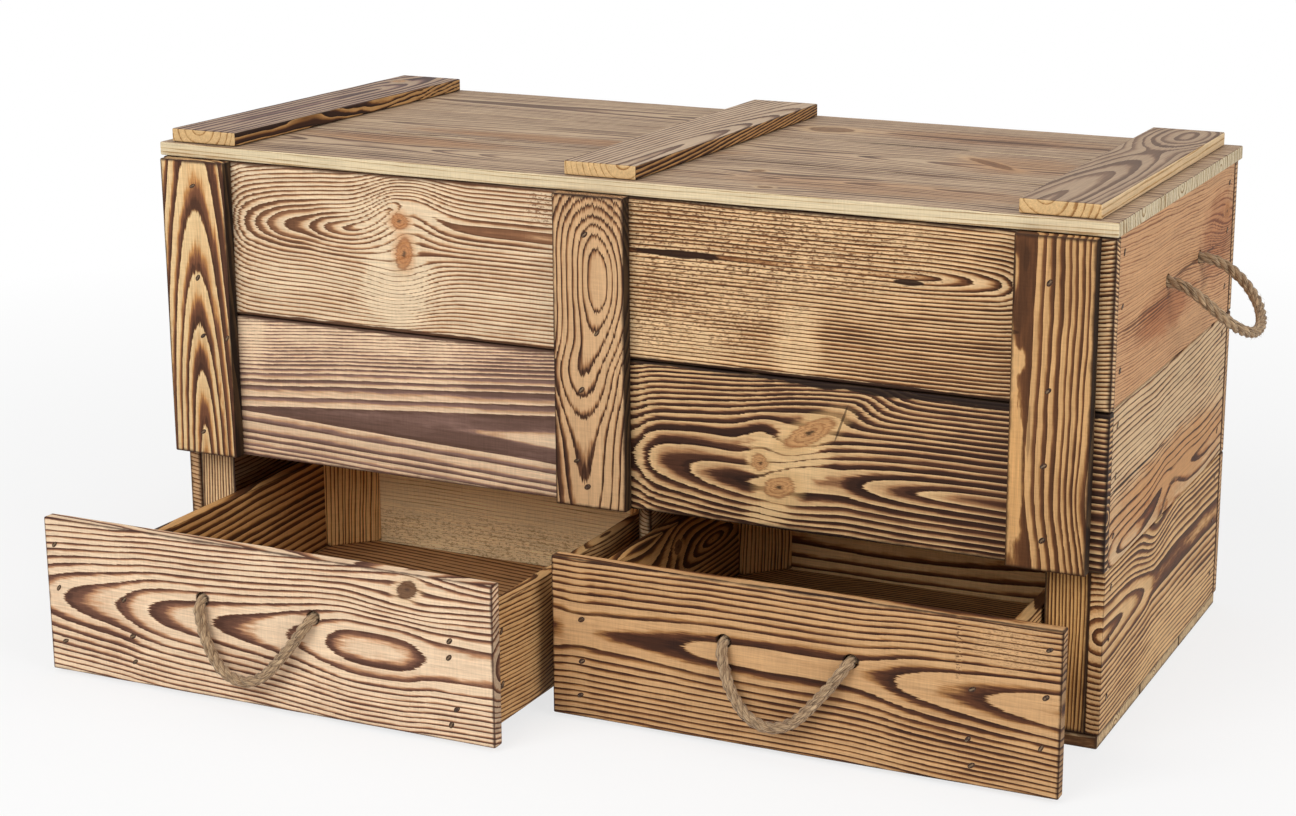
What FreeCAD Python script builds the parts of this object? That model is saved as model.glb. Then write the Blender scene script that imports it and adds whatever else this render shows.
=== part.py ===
import FreeCAD, Part

import math
import os
import re

import Sketcher

# A small mule chest: a coffer with a hinged lid above two drawers that stand side by side.
# +X is to the right, -Y is the front, +Z is up, in millimetres. The origin is the centre of the underside.
# Boards are sawn softwood of one thickness, nailed together. The four handles are loops of rope.

doc = FreeCAD.newDocument("mule_chest")

# ---------------------------------------------------------------- driving dimensions
DIMENSIONS = {
    "board": 14.0,             # thickness of every board
    "ease": 1.0,               # chamfer on the sawn edges
    "lid_length": 1000.0,
    "side_span": 992.0,        # over the outer faces of the two sides
    "front_span": 996.0,       # length of the boards of the front
    "base_length": 988.0,
    "depth_rear": 220.0,       # outer face of the back, and the rear edge of the lid
    "depth_front": 220.0,      # front ends of the side boards
    "side_top": 479.5,         # upper edge of the walls
    "lid_underside": 480.0,
    "seam_low": 170.0,         # seams of the side and back boards
    "seam_high": 322.0,
    "front_low": 174.0,        # lower edge of the front, over the drawers
    "front_seam": 322.5,       # seam between the two boards of the front
    "batten_width": 76.0,
    "front_batten_left": -492.0,
    "front_batten_centre": -47.0,
    "front_batten_right": 409.0,
    "lid_batten_left": -488.0,
    "lid_batten_centre": -42.0,
    "lid_batten_right": 407.0,
    "lid_batten_length": 442.0,
    "lid_batten_start": 5.0,   # setback of a lid batten from the lid's front edge
    "post_leg": 43.0,          # legs of the triangular corner posts
    "seam_gap": 0.4,           # open seam between boards laid side by side
    "drawer_front_inner": 3.0,     # the two drawer fronts meet either side of the middle
    "drawer_front_length": 495.0,
    "drawer_front_base": 4.0,
    "drawer_front_width": 156.0,
    "drawer_box_inner": 14.0,      # outer face of the wall next to the divider
    "drawer_box_outer": 437.0,     # outer face of the wall next to the side
    "drawer_box_base": 14.5,
    "drawer_box_top": 130.0,
    "drawer_box_length": 412.0,
    "drawer_shut": 221.0,          # rear face of a drawer front when the drawer is shut
    "left_drawer_open": 216.0,     # how far each drawer stands open at rest
    "right_drawer_open": 116.0,
    "block_leg": 44.0,             # legs of the triangular corner blocks
    "divider_front": 150.0,
    "rope_radius": 5.5,
    "rope_hole_radius": 7.0,
    "rope_proud": 6.5,             # line about which a loop swings, off the face of its board
    "loop_end_radius": 5.8,
    "knot_radius": 13.0,
    "knot_depth": 11.0,            # centre of a knot behind the inner face of its board
    "handle_span": 124.0,          # between the two holes of a drawer's handle
    "side_handle_span": 120.0,
    "left_handle_start": -317.0,
    "right_handle_start": 179.0,
    "drawer_handle_height": 102.0,
    "side_handle_start": -45.0,
    "side_handle_height": 405.0,
    "hinge_centre": 300.0,
    "hinge_width": 60.0,
    "hinge_axis_back": 3.7,        # pin axis behind the rear face of the back
    "hinge_axis_drop": 0.25,       # pin axis under the underside of the lid
    "knuckle_radius": 3.5,
    "pin_radius": 2.0,
    "pin_clearance": 0.05,
    "knuckle_gap": 0.3,
    "leaf": 1.5,                   # thickness of a hinge leaf
    "nail_head_radius": 3.5,
    "nail_head": 1.2,
    "nail_proud": 0.3,
    "nail_shank_radius": 1.4,
    "nail_length": 27.0,
    "tack_length": 12.0,
}

sizes = doc.addObject("Spreadsheet::Sheet", "sizes")
for row, (alias, value) in enumerate(DIMENSIONS.items(), start=1):
    sizes.set(f"A{row}", alias)
    sizes.set(f"B{row}", repr(value))
    sizes.setAlias(f"B{row}", alias)
doc.recompute()

ORIGIN_PLANES = {"XY": "XY_Plane", "XZ": "XZ_Plane", "YZ": "YZ_Plane"}
ORIGIN_POINT = (-1, 1)         # how a sketch names its own origin
LEFT_RIGHT = (("left", -1), ("right", 1))
UP, DOWN = FreeCAD.Vector(0, 0, 1), FreeCAD.Vector(0, 0, -1)
AHEAD, BACKWARD = FreeCAD.Vector(0, -1, 0), FreeCAD.Vector(0, 1, 0)
LEFTWARD, RIGHTWARD = FreeCAD.Vector(-1, 0, 0), FreeCAD.Vector(1, 0, 0)
SIDEWAYS = {-1: LEFTWARD, 1: RIGHTWARD}
nodes = []                     # the objects that are written out, one file each


# ---------------------------------------------------------------- ways of making a piece
def bound(text):
    """The expression, with each dimension's name looked up in the sheet."""
    return re.sub(r"[a-z_]{3,}", lambda name: "sizes." + name.group(), str(text))


def number(text):
    """What the expression comes to now."""
    return float(sizes.evalExpression(bound(text)))


def size(alias):
    """A driving dimension, for shapes that are set in code."""
    return float(getattr(sizes, alias))


def place(piece, corner, rotation=FreeCAD.Rotation()):
    piece.Placement = FreeCAD.Placement(FreeCAD.Vector(*map(number, corner)), rotation)
    for axis, expression in zip("xyz", corner):
        piece.setExpression(f"Placement.Base.{axis}", bound(expression))


def node(piece):
    nodes.append(piece)
    return piece


def sketch_on(body, plane, name):
    drawing = body.newObject("Sketcher::SketchObject", f"{body.Name}_{name}")
    role = ORIGIN_PLANES[plane]
    face = next(item for item in body.Origin.OriginFeatures if item.Role == role)
    drawing.AttachmentSupport = [(face, "")]
    drawing.MapMode = "FlatFace"
    return drawing


def pin_point(drawing, item, point, where):
    """Ties a point of the sketch to its distances from the origin."""
    for kind, axis, distance in (("DistanceX", -2, where[0]), ("DistanceY", -1, where[1])):
        if number(distance) == 0:
            drawing.addConstraint(Sketcher.Constraint("PointOnObject", item, point, axis))
            continue
        tie = Sketcher.Constraint(kind, *ORIGIN_POINT, item, point, number(distance))
        index = drawing.addConstraint(tie)
        drawing.setExpression(f"Constraints[{index}]", bound(distance))


def outline(drawing, corners):
    """A closed outline of straight lines, each corner at its own distances from the origin."""
    ends = [FreeCAD.Vector(number(x), number(y), 0) for x, y in corners]
    for start, end in zip(ends, ends[1:] + ends[:1]):
        drawing.addGeometry(Part.LineSegment(start, end))
    for index, corner in enumerate(corners):
        before = (index - 1) % len(corners)
        drawing.addConstraint(Sketcher.Constraint("Coincident", before, 2, index, 1))
        pin_point(drawing, index, 1, corner)


def plate(label, corner, corners, height, rotation=FreeCAD.Rotation()):
    """A board sawn to an outline, with its edges eased."""
    body = doc.addObject("PartDesign::Body", label)
    drawing = sketch_on(body, "XY", "outline")
    outline(drawing, corners)
    pad = body.newObject("PartDesign::Pad", label + "_thickness")
    pad.Profile = drawing
    pad.setExpression("Length", bound(height))
    chamfer = body.newObject("PartDesign::Chamfer", label + "_eased")
    chamfer.Base = (pad, [""])
    chamfer.UseAllEdges = True
    chamfer.setExpression("Size", bound("ease"))
    place(body, corner, rotation)
    return body


def board(label, corner, extent):
    """A rectangular board: its low corner, and its size along X, Y and Z."""
    across, back, height = extent
    corners = [("0", "0"), (across, "0"), (across, back), ("0", back)]
    return plate(label, corner, corners, height)


def bore(body, plane, centres, radius):
    """Round holes right through a board, at distances from its low corner."""
    drawing = sketch_on(body, plane, "holes")
    for index, centre in enumerate(centres):
        middle = FreeCAD.Vector(*map(number, centre), 0)
        drawing.addGeometry(Part.Circle(middle, FreeCAD.Vector(0, 0, 1), number(radius)))
        pin_point(drawing, index, 3, centre)
        tie = drawing.addConstraint(Sketcher.Constraint("Radius", index, number(radius)))
        drawing.setExpression(f"Constraints[{tie}]", bound(radius))
    doc.recompute()
    before = body.Shape.Volume
    holes = body.newObject("PartDesign::Pocket", body.Name + "_bore")
    holes.Profile = drawing
    holes.Type = "ThroughAll"
    holes.Midplane = True
    doc.recompute()
    removed = len(centres) * math.pi * number(radius) ** 2 * size("board")
    assert abs(before - body.Shape.Volume - removed) < 0.02 * removed, body.Name


def primitive(kind, name, corner, rotation=FreeCAD.Rotation(), **extent):
    piece = doc.addObject("Part::" + kind, name)
    for side, expression in extent.items():
        piece.setExpression(side, bound(expression))
    place(piece, corner, rotation)
    return piece


def fused(label, pieces):
    whole = doc.addObject("Part::MultiFuse", label)
    whole.Shapes = pieces
    return whole


def group(label, pieces):
    """Like pieces that share a node and stay separate solids."""
    whole = doc.addObject("Part::Compound", label)
    whole.Links = pieces
    return whole


# ---------------------------------------------------------------- carcass
DEPTH = "(depth_front + depth_rear)"
LEVELS = (("bottom", "board", "seam_low"), ("middle", "seam_low", "seam_high"),
          ("top", "seam_high", "side_top + seam_gap"))
ROWS = ("front", "middle", "rear")

for row, name in enumerate(ROWS):
    low = ("-base_length / 2", f"-depth_front + {row} * {DEPTH} / 3", "0")
    node(board("base_board_" + name, low, ("base_length", f"{DEPTH} / 3 - seam_gap", "board")))

for side, sign in LEFT_RIGHT:
    start = "-side_span / 2" if sign < 0 else "side_span / 2 - board"
    for name, low, high in LEVELS:
        extent = ("board", f"{DEPTH} - board", f"{high} - ({low}) - seam_gap")
        wall = node(board(f"{side}_side_board_{name}", (start, "-depth_front", low), extent))
        if name == "top":
            height = "side_handle_height - seam_high"
            near = "depth_front + side_handle_start"
            bore(wall, "YZ", [(near, height), (f"{near} + side_handle_span", height)],
                 "rope_hole_radius")

for name, low, high in LEVELS:
    extent = ("side_span", "board", f"{high} - ({low}) - seam_gap")
    node(board("back_board_" + name, ("-side_span / 2", "depth_rear - board", low), extent))

front = ("-front_span / 2", "-depth_front - board")
lower = ("front_span", "board", "front_seam - front_low - 0.5")
upper = ("front_span", "board", "side_top - front_seam - 0.5")
node(board("front_board_lower", (*front, "front_low"), lower))
node(board("front_board_upper", (*front, "front_seam + 0.5"), upper))
for name in ("left", "centre", "right"):
    low = ("front_batten_" + name, "-depth_front - 2 * board", "front_low")
    node(board(f"front_batten_{name}", low, ("batten_width", "board", "side_top - front_low")))

# A triangular strip stands in each inside corner, and the boards are nailed to it.
INNER = "(side_span / 2 - board)"
TRIANGLE = [("0", "0"), ("post_leg", "0"), ("0", "post_leg")]
CORNERS = (("left_front", f"-{INNER}", "-depth_front"), ("right_front", INNER, "-depth_front"),
           ("right_rear", INNER, "depth_rear - board"), ("left_rear", f"-{INNER}", "depth_rear - board"))
for turn, (name, x, y) in enumerate(CORNERS):
    rotation = FreeCAD.Rotation(FreeCAD.Vector(0, 0, 1), 90 * turn)
    node(plate(name + "_post", (x, y, "board"), TRIANGLE, "side_top - board", rotation))

# The floor of the coffer lies between the walls, with its corners cut off round the posts.
SPAN = f"(2 * {INNER})"
ROW_WIDTH = f"(({DEPTH} - board) / 3)"
CUT = "(post_leg + 0.5)"
row_edge = f"{ROW_WIDTH} - seam_gap"
FLOOR_OUTLINES = {
    "front": [(CUT, "0"), (f"{SPAN} - {CUT}", "0"), (SPAN, CUT), (SPAN, row_edge), ("0", row_edge), ("0", CUT)],
    "middle": [("0", "0"), (SPAN, "0"), (SPAN, row_edge), ("0", row_edge)],
    "rear": [("0", "0"), (SPAN, "0"), (SPAN, f"{ROW_WIDTH} - {CUT}"), (f"{SPAN} - {CUT}", ROW_WIDTH),
             (CUT, ROW_WIDTH), ("0", f"{ROW_WIDTH} - {CUT}")],
}
for row, name in enumerate(ROWS):
    low = (f"-{SPAN} / 2", f"-depth_front + {row} * {ROW_WIDTH}", "front_low")
    node(plate("chest_floor_board_" + name, low, FLOOR_OUTLINES[name], "board"))

extent = ("board", "divider_front + depth_rear - board", "front_low - board")
node(board("drawer_divider", ("-board / 2", "-divider_front", "board"), extent))

# ---------------------------------------------------------------- lid
LID_FRONT = "(-depth_front - board - 2)"
LID_WIDTH = f"((depth_rear - {LID_FRONT}) / 3)"
for row, name in enumerate(ROWS):
    low = ("-lid_length / 2", f"{LID_FRONT} + {row} * {LID_WIDTH}", "lid_underside")
    node(board("lid_board_" + name, low, ("lid_length", f"{LID_WIDTH} - seam_gap", "board")))
for name in ("left", "centre", "right"):
    low = ("lid_batten_" + name, f"{LID_FRONT} + lid_batten_start", "lid_underside + board")
    node(board(f"lid_batten_{name}", low, ("batten_width", "lid_batten_length", "board")))


# ---------------------------------------------------------------- hinges
HINGE_Y = "depth_rear + hinge_axis_back"
HINGE_Z = "lid_underside - hinge_axis_drop"
KNUCKLES = 5
PITCH = f"(hinge_width / {KNUCKLES})"
ALONG_X = FreeCAD.Rotation(FreeCAD.Vector(0, 1, 0), 90)


def leaf(label, start, low, top, web_low, web_top, turns):
    """One leaf: a flat plate, and the knuckles in its turns with the webs that carry them."""
    pieces = [primitive("Box", label + "_plate", (start, "depth_rear", low), Length="hinge_width",
                        Width="leaf", Height=f"{top} - ({low})")]
    for turn in turns:
        begin = f"{start} + {turn} * {PITCH} + knuckle_gap / 2"
        length = f"{PITCH} - knuckle_gap"
        web = (begin, "depth_rear", web_low)
        pieces.append(primitive("Box", f"{label}_web_{turn}", web, Length=length, Width="leaf",
                                Height=f"{web_top} - ({web_low})"))
        pieces.append(primitive("Cylinder", f"{label}_knuckle_{turn}", (begin, HINGE_Y, HINGE_Z),
                                ALONG_X, Radius="knuckle_radius", Height=length))
    whole = doc.addObject("Part::Cut", label)
    whole.Base = fused(label + "_solid", pieces)
    whole.Tool = primitive("Cylinder", label + "_bore", (f"{start} - 1", HINGE_Y, HINGE_Z), ALONG_X,
                           Radius="pin_radius + pin_clearance", Height="hinge_width + 2")
    return whole


fixed_leaves, lid_leaves, pins = [], [], []
for side, sign in LEFT_RIGHT:
    start = f"{sign} * hinge_centre - hinge_width / 2"
    fixed_leaves.append(leaf(side + "_fixed_leaf", start, "side_top - 34", "side_top - 4.5",
                             "side_top - 5", HINGE_Z, (0, 2, 4)))
    lid_leaves.append(leaf(side + "_lid_leaf", start, "lid_underside + 4.5", "lid_underside + 13",
                           HINGE_Z, "lid_underside + 5", (1, 3)))
    rod = primitive("Cylinder", side + "_pin_rod", (f"{start} - 0.5", HINGE_Y, HINGE_Z), ALONG_X,
                    Radius="pin_radius", Height="hinge_width + 1")
    heads = [primitive("Cylinder", f"{side}_pin_head_{end}", (where, HINGE_Y, HINGE_Z), ALONG_X,
                       Radius="pin_radius + 1", Height="1")
             for end, where in ((0, f"{start} - 1.3"), (1, f"{start} + hinge_width + 0.3"))]
    pins.append(fused(side + "_pin", [rod, *heads]))
node(group("hinge_fixed_leaves", fixed_leaves))
node(group("hinge_lid_leaves", lid_leaves))
node(group("hinge_pins", pins))

# ---------------------------------------------------------------- drawers
BOX_HEIGHT = "(drawer_box_top - drawer_box_base)"
INSIDE = "(drawer_box_outer - drawer_box_inner - 2 * board)"
HANDLE_START = {"left": "left_handle_start", "right": "right_handle_start"}
drawer_back_of_front = {}


def across(sign, low, length):
    """Where a piece starts along X, so that the left drawer is the mirror image of the right."""
    return low if sign > 0 else f"-({low}) - ({length})"


for side, sign in LEFT_RIGHT:
    name = side + "_drawer_"
    behind = f"(-drawer_shut - {side}_drawer_open)"
    drawer_back_of_front[side] = behind
    length = "drawer_front_length"
    start = across(sign, "drawer_front_inner", length)
    face = node(board(name + "front", (start, f"{behind} - board", "drawer_front_base"),
                      (length, "board", "drawer_front_width")))
    first = f"{HANDLE_START[side]} - ({start})"
    height = "drawer_handle_height - drawer_front_base"
    bore(face, "XZ", [(first, height), (f"{first} + handle_span", height)], "rope_hole_radius")

    for wall, low in (("inner_wall", "drawer_box_inner"), ("outer_wall", "drawer_box_outer - board")):
        low = (across(sign, low, "board"), behind, "drawer_box_base")
        node(board(name + wall, low, ("board", "drawer_box_length", BOX_HEIGHT)))

    inner = across(sign, "drawer_box_inner + board", INSIDE)
    low = (inner, f"{behind} + drawer_box_length - board", "drawer_box_base")
    node(board(name + "back", low, (INSIDE, "board", BOX_HEIGHT)))
    half = "((drawer_box_length - board) / 2)"
    for row, part in enumerate(("front", "rear")):
        low = (inner, f"{behind} + {row} * {half}", "drawer_box_base")
        extent = (INSIDE, f"{half} - seam_gap", "board")
        node(board(f"{name}bottom_board_{part}", low, extent))

    triangle = [("0", "0"), ("block_leg", "0"), ("0", "block_leg")]
    floor = "drawer_box_base + board"
    near, far = behind, f"{behind} + drawer_box_length - board"
    left, right = inner, f"{inner} + {INSIDE}"
    blocks = []
    for turn, (x, y) in enumerate(((left, near), (right, near), (right, far), (left, far))):
        rotation = FreeCAD.Rotation(FreeCAD.Vector(0, 0, 1), 90 * turn)
        blocks.append(plate(f"{name}block_{turn}", (x, y, floor), triangle,
                            f"{BOX_HEIGHT} - board", rotation))
    node(group(name + "corner_blocks", blocks))

# ---------------------------------------------------------------- rope handles
# A loop hangs from two holes. Its ends are round and turn about the line through the holes.
# Routes are (along the line, out from the line, down from the line), chosen by hand.
DRAWER_LOOP = [(0, 0, 0), (3, 1, 22), (12, 3, 45), (28.5, 6, 65), (51.5, 8, 71.5),
               (74, 7.5, 63.5), (92, 5, 43.5), (109, 2.5, 22.5), (124, 0, 0)]
SIDE_LOOP = [(0, 0, 0), (0.5, 19.5, 9.5), (3, 38.5, 25), (12, 54.5, 40), (34, 65, 51), (61, 67.5, 54.5),
             (88, 65, 51.5), (111, 57, 42), (126, 43.5, 28.5), (131, 27, 14.5), (127, 11.5, 4.5),
             (120, 0, 0)]
ARC_SHARE = 0.45               # how much of a run each arc may use


def rope_path(points):
    """Straight runs joined by tangent arcs, with the radius of each arc."""
    edges, radii, begin = [], [], points[0]
    for before, corner, after in zip(points, points[1:], points[2:]):
        run_in, run_out = corner - before, after - corner
        turn = run_in.getAngle(run_out)
        trim = ARC_SHARE * min(run_in.Length, run_out.Length)
        radii.append(trim / math.tan(turn / 2))
        heading_in, heading_out = run_in.normalize(), run_out.normalize()
        start, end = corner - heading_in * trim, corner + heading_out * trim
        sagitta = radii[-1] * (1 / math.cos(turn / 2) - 1)
        middle = corner + (heading_out - heading_in).normalize() * sagitta
        edges += [Part.LineSegment(begin, start).toShape(), Part.Arc(start, middle, end).toShape()]
        begin = end
    edges.append(Part.LineSegment(begin, points[-1]).toShape())
    return Part.Wire(edges), radii


def loop(label, start, along, outward, route):
    """The hanging part of a handle, from the first hole to the second."""
    radius = size("rope_radius")
    points = [start + along * a + outward * b - FreeCAD.Vector(0, 0, c) for a, b, c in route]
    path, radii = rope_path(points)
    section = Part.Wire(Part.Circle(points[0], points[1] - points[0], radius).toShape())
    tube = path.makePipeShell([section], True, False)
    expected = math.pi * radius ** 2 * path.Length
    assert abs(tube.Volume - expected) < 0.01 * expected, label
    print(label, "length", round(path.Length, 1), "arc radii", [round(r, 1) for r in radii])
    ends = [Part.makeSphere(size("loop_end_radius"), point, heading)
            for point, heading in ((points[0], points[1] - points[0]), (points[-1], points[-2] - points[-1]))]
    piece = doc.addObject("Part::Feature", label)
    piece.Shape = tube.fuse(ends)
    return piece


def tail(label, knot, outward):
    """The end of a rope that fills its hole, and the knot that holds it inside the board."""
    turn = FreeCAD.Rotation(FreeCAD.Vector(0, 0, 1), outward)
    core = primitive("Cylinder", label + "_core", knot, turn, Radius="rope_radius",
                     Height="knot_depth + board + 0.2")
    ball = primitive("Sphere", label + "_ball", knot, turn, Radius="knot_radius")
    return fused(label, [core, ball])


for side, sign in LEFT_RIGHT:
    behind = drawer_back_of_front[side]
    height = "drawer_handle_height"
    start = FreeCAD.Vector(number(HANDLE_START[side]), number(f"{behind} - board - rope_proud"),
                           number(height))
    node(loop(side + "_drawer_rope_loop", start, RIGHTWARD, AHEAD, DRAWER_LOOP))
    ends = [tail(f"{side}_drawer_tail_{end}", (where, f"{behind} + knot_depth", height), AHEAD)
            for end, where in ((0, HANDLE_START[side]), (1, HANDLE_START[side] + " + handle_span"))]
    node(group(side + "_drawer_rope_tails", ends))

start = FreeCAD.Vector(-number("side_span / 2 + rope_proud"), number("side_handle_start"),
                       number("side_handle_height"))
left_loop = loop("left_side_rope_loop", start, BACKWARD, LEFTWARD, SIDE_LOOP)
right_loop = doc.addObject("Part::Mirroring", "right_side_rope_loop")
right_loop.Source = left_loop
right_loop.Normal = RIGHTWARD
node(left_loop)
node(right_loop)
side_tails = []
for side, sign in LEFT_RIGHT:
    for end in (0, 1):
        knot = (f"{sign} * (side_span / 2 - board - knot_depth)",
                f"side_handle_start + {end} * side_handle_span", "side_handle_height")
        side_tails.append(tail(f"{side}_side_tail_{end}", knot, SIDEWAYS[sign]))
node(group("side_rope_tails", side_tails))

# ---------------------------------------------------------------- nails
def nail_body(label, length):
    """A round nail, from its point at the origin up to its flat head."""
    body = doc.addObject("PartDesign::Body", label)
    drawing = sketch_on(body, "XZ", "profile")
    under, top = f"{length} - nail_head + nail_proud", f"{length} + nail_proud"
    outline(drawing, [("0", "0"), ("nail_shank_radius", "3"), ("nail_shank_radius", under),
                      ("nail_head_radius", under), ("nail_head_radius", top), ("0", top)])
    turned = body.newObject("PartDesign::Revolution", label + "_turned")
    turned.Profile = drawing
    turned.ReferenceAxis = (drawing, ["V_Axis"])
    turned.Angle = 360
    return body


long_nail = nail_body("nail", "nail_length")
tack = nail_body("tack", "tack_length")
doc.recompute()


def driven(kind, x, y, z, outward):
    """A nail driven in at a point of a face, with its head outward."""
    reach = size("nail_length" if kind is long_nail else "tack_length")
    shape = kind.Shape.copy()
    turn = FreeCAD.Rotation(UP, outward)
    shape.Placement = FreeCAD.Placement(FreeCAD.Vector(x, y, z) - outward * reach, turn)
    return shape


def nails(label, shapes):
    piece = doc.addObject("Part::Feature", label)
    piece.Shape = Part.makeCompound(shapes)
    return node(piece)


# Where the heads show, as (across, up): the three front battens and the two drawer fronts.
BATTEN_NAILS = [(-454, 454), (-453, 360), (-450, 300), (-421, 300), (-456, 198), (-12, 442), (0, 348),
                (-17, 291), (-23, 220), (-12, 195), (443, 438), (445, 341), (443, 272), (444, 203)]
FRONT_NAILS = {
    "left": [(-408, 88), (-400, 52), (-399, 26), (-48, 101), (-49, 85), (-42, 36), (-48, 20)],
    "right": [(34, 101), (34, 60), (32, 26), (417, 94), (414, 47), (418, 23)],
}
FRONT_TACKS = {"left": [(-487, 133), (-485, 89), (-481, 35)], "right": [(486, 141), (484, 97), (481, 50)]}

post_middle = size("post_leg") / 2 - 1.5
front_end, rear_face = -size("depth_front"), size("depth_rear")
near_rows = (front_end + post_middle, rear_face - size("board") - post_middle)
wall_face = size("side_span") / 2
post_across = wall_face - size("board") - post_middle
carcass = [driven(long_nail, x, front_end - 2 * size("board"), z, AHEAD) for x, z in BATTEN_NAILS]
for name, low, high in LEVELS:
    base, top = number(low), number(high)
    for share in (0.2, 0.57, 0.88):
        z = base + share * (top - base)
        for sign in (-1, 1):
            carcass += [driven(long_nail, sign * wall_face, y, z, SIDEWAYS[sign]) for y in near_rows]
            carcass.append(driven(long_nail, sign * post_across, rear_face, z, BACKWARD))
sunk = 0.8                      # the heads under the base lie below its surface
for row in range(3):
    for share in (0.25, 0.75):
        y = front_end + (row + share) * number(DEPTH) / 3
        middle = wall_face - size("board") / 2
        places = (-middle, middle) if row == 0 else (-middle, 0, middle)
        carcass += [driven(long_nail, x, y, sunk, DOWN) for x in places if abs(y) < 205]
leaf_face = rear_face + size("leaf")
for centre in (-size("hinge_centre"), size("hinge_centre")):
    for x in (centre - 20, centre + 20):
        for drop in (13, 26):
            carcass.append(driven(tack, x, leaf_face, size("side_top") - drop, BACKWARD))
nails("carcass_nails", carcass)

lid = []
for name in ("left", "centre", "right"):
    for row in range(3):
        for share in (0.3, 0.7):
            x = size("lid_batten_" + name) + share * size("batten_width")
            y = number(f"{LID_FRONT} + ({row} + {share}) * {LID_WIDTH}")
            lid.append(driven(long_nail, x, y, size("lid_underside"), DOWN))
for centre in (-size("hinge_centre"), size("hinge_centre")):
    for x in (centre - 20, centre + 20):
        lid.append(driven(tack, x, leaf_face, size("lid_underside") + 8.75, BACKWARD))
nails("lid_nails", lid)

for side, sign in LEFT_RIGHT:
    behind = number(drawer_back_of_front[side])
    face = behind - size("board")
    driven_in = [driven(long_nail, x, face, z, AHEAD) for x, z in FRONT_NAILS[side]]
    driven_in += [driven(tack, x, face, z, AHEAD) for x, z in FRONT_TACKS[side]]
    rear = behind + size("drawer_box_length")
    into_block = size("block_leg") / 2
    for z in (52.0, 104.0):
        for y in (behind + into_block, rear - size("board") - into_block):
            outer, inner = sign * size("drawer_box_outer"), sign * size("drawer_box_inner")
            driven_in.append(driven(long_nail, outer, y, z, SIDEWAYS[sign]))
            driven_in.append(driven(long_nail, inner, y, z, SIDEWAYS[-sign]))
        for x in (size("drawer_box_inner") + size("board") + into_block,
                  size("drawer_box_outer") - size("board") - into_block):
            driven_in.append(driven(long_nail, sign * x, rear, z, BACKWARD))
    nails(side + "_drawer_nails", driven_in)

# ---------------------------------------------------------------- checks and files
doc.recompute()
for item in doc.Objects:
    failed = {"Invalid", "Error"} & set(item.State)
    assert not failed, f"{item.Name} is {item.State}"
labels = [piece.Label for piece in nodes]
assert len(labels) == len(set(labels)) <= 60, len(labels)
os.makedirs("parts", exist_ok=True)
for piece in nodes:
    assert not piece.Shape.isNull() and piece.Shape.isValid(), piece.Label
for piece in nodes:
    piece.Shape.exportStep(f"parts/{piece.Label}.step")
print(len(nodes), "nodes written")
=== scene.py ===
import math
import random

import bmesh
import bpy
from mathutils import Matrix, Vector, noise
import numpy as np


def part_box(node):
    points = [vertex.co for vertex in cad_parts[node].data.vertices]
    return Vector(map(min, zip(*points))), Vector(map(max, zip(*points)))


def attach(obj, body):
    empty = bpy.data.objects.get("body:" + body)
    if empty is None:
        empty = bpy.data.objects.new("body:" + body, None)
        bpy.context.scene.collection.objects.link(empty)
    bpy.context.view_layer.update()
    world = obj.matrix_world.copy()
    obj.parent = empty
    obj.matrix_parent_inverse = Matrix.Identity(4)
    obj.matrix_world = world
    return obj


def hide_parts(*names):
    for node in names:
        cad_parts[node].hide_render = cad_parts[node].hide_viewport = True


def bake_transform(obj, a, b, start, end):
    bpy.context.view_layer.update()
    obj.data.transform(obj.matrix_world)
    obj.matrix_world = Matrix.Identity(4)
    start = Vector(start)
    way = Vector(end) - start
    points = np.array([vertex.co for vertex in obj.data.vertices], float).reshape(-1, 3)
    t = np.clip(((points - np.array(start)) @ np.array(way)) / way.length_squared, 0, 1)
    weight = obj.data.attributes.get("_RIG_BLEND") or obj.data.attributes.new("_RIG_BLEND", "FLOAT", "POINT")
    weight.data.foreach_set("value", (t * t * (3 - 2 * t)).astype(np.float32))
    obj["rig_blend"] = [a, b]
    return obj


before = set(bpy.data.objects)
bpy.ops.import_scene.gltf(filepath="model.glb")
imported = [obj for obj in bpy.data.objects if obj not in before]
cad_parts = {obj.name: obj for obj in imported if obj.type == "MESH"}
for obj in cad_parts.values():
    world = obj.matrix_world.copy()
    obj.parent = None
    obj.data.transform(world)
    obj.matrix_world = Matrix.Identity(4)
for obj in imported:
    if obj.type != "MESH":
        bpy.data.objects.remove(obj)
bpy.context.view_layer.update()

# ---------------------------------------------------------------- camera
# The chest is seen from its right front corner, a little from above, with both drawers open.
# A long lens keeps the uprights nearly upright.
CAMERA_PLACE = (1.0754, -2.3113, 0.9073)
CAMERA_HEADING, CAMERA_DIP, CAMERA_ROLL = 23.1086, 14.5088, 0.4327      # degrees


def placed(name, data):
    """A new object in the scene."""
    made = bpy.data.objects.new(name, data)
    bpy.context.scene.collection.objects.link(made)
    return made


lens = bpy.data.cameras.new("camera")
lens.lens, lens.sensor_width = 70.18, 36.0
lens.shift_x, lens.shift_y = -0.1067, -0.0239
camera = placed("camera", lens)
camera.matrix_world = (Matrix.Translation(CAMERA_PLACE)
                       @ Matrix.Rotation(math.radians(CAMERA_HEADING), 4, "Z")
                       @ Matrix.Rotation(math.radians(90 - CAMERA_DIP), 4, "X")
                       @ Matrix.Rotation(math.radians(CAMERA_ROLL), 4, "Z"))
bpy.context.scene.camera = camera
bpy.context.scene.view_settings.view_transform = "Standard"

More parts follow.
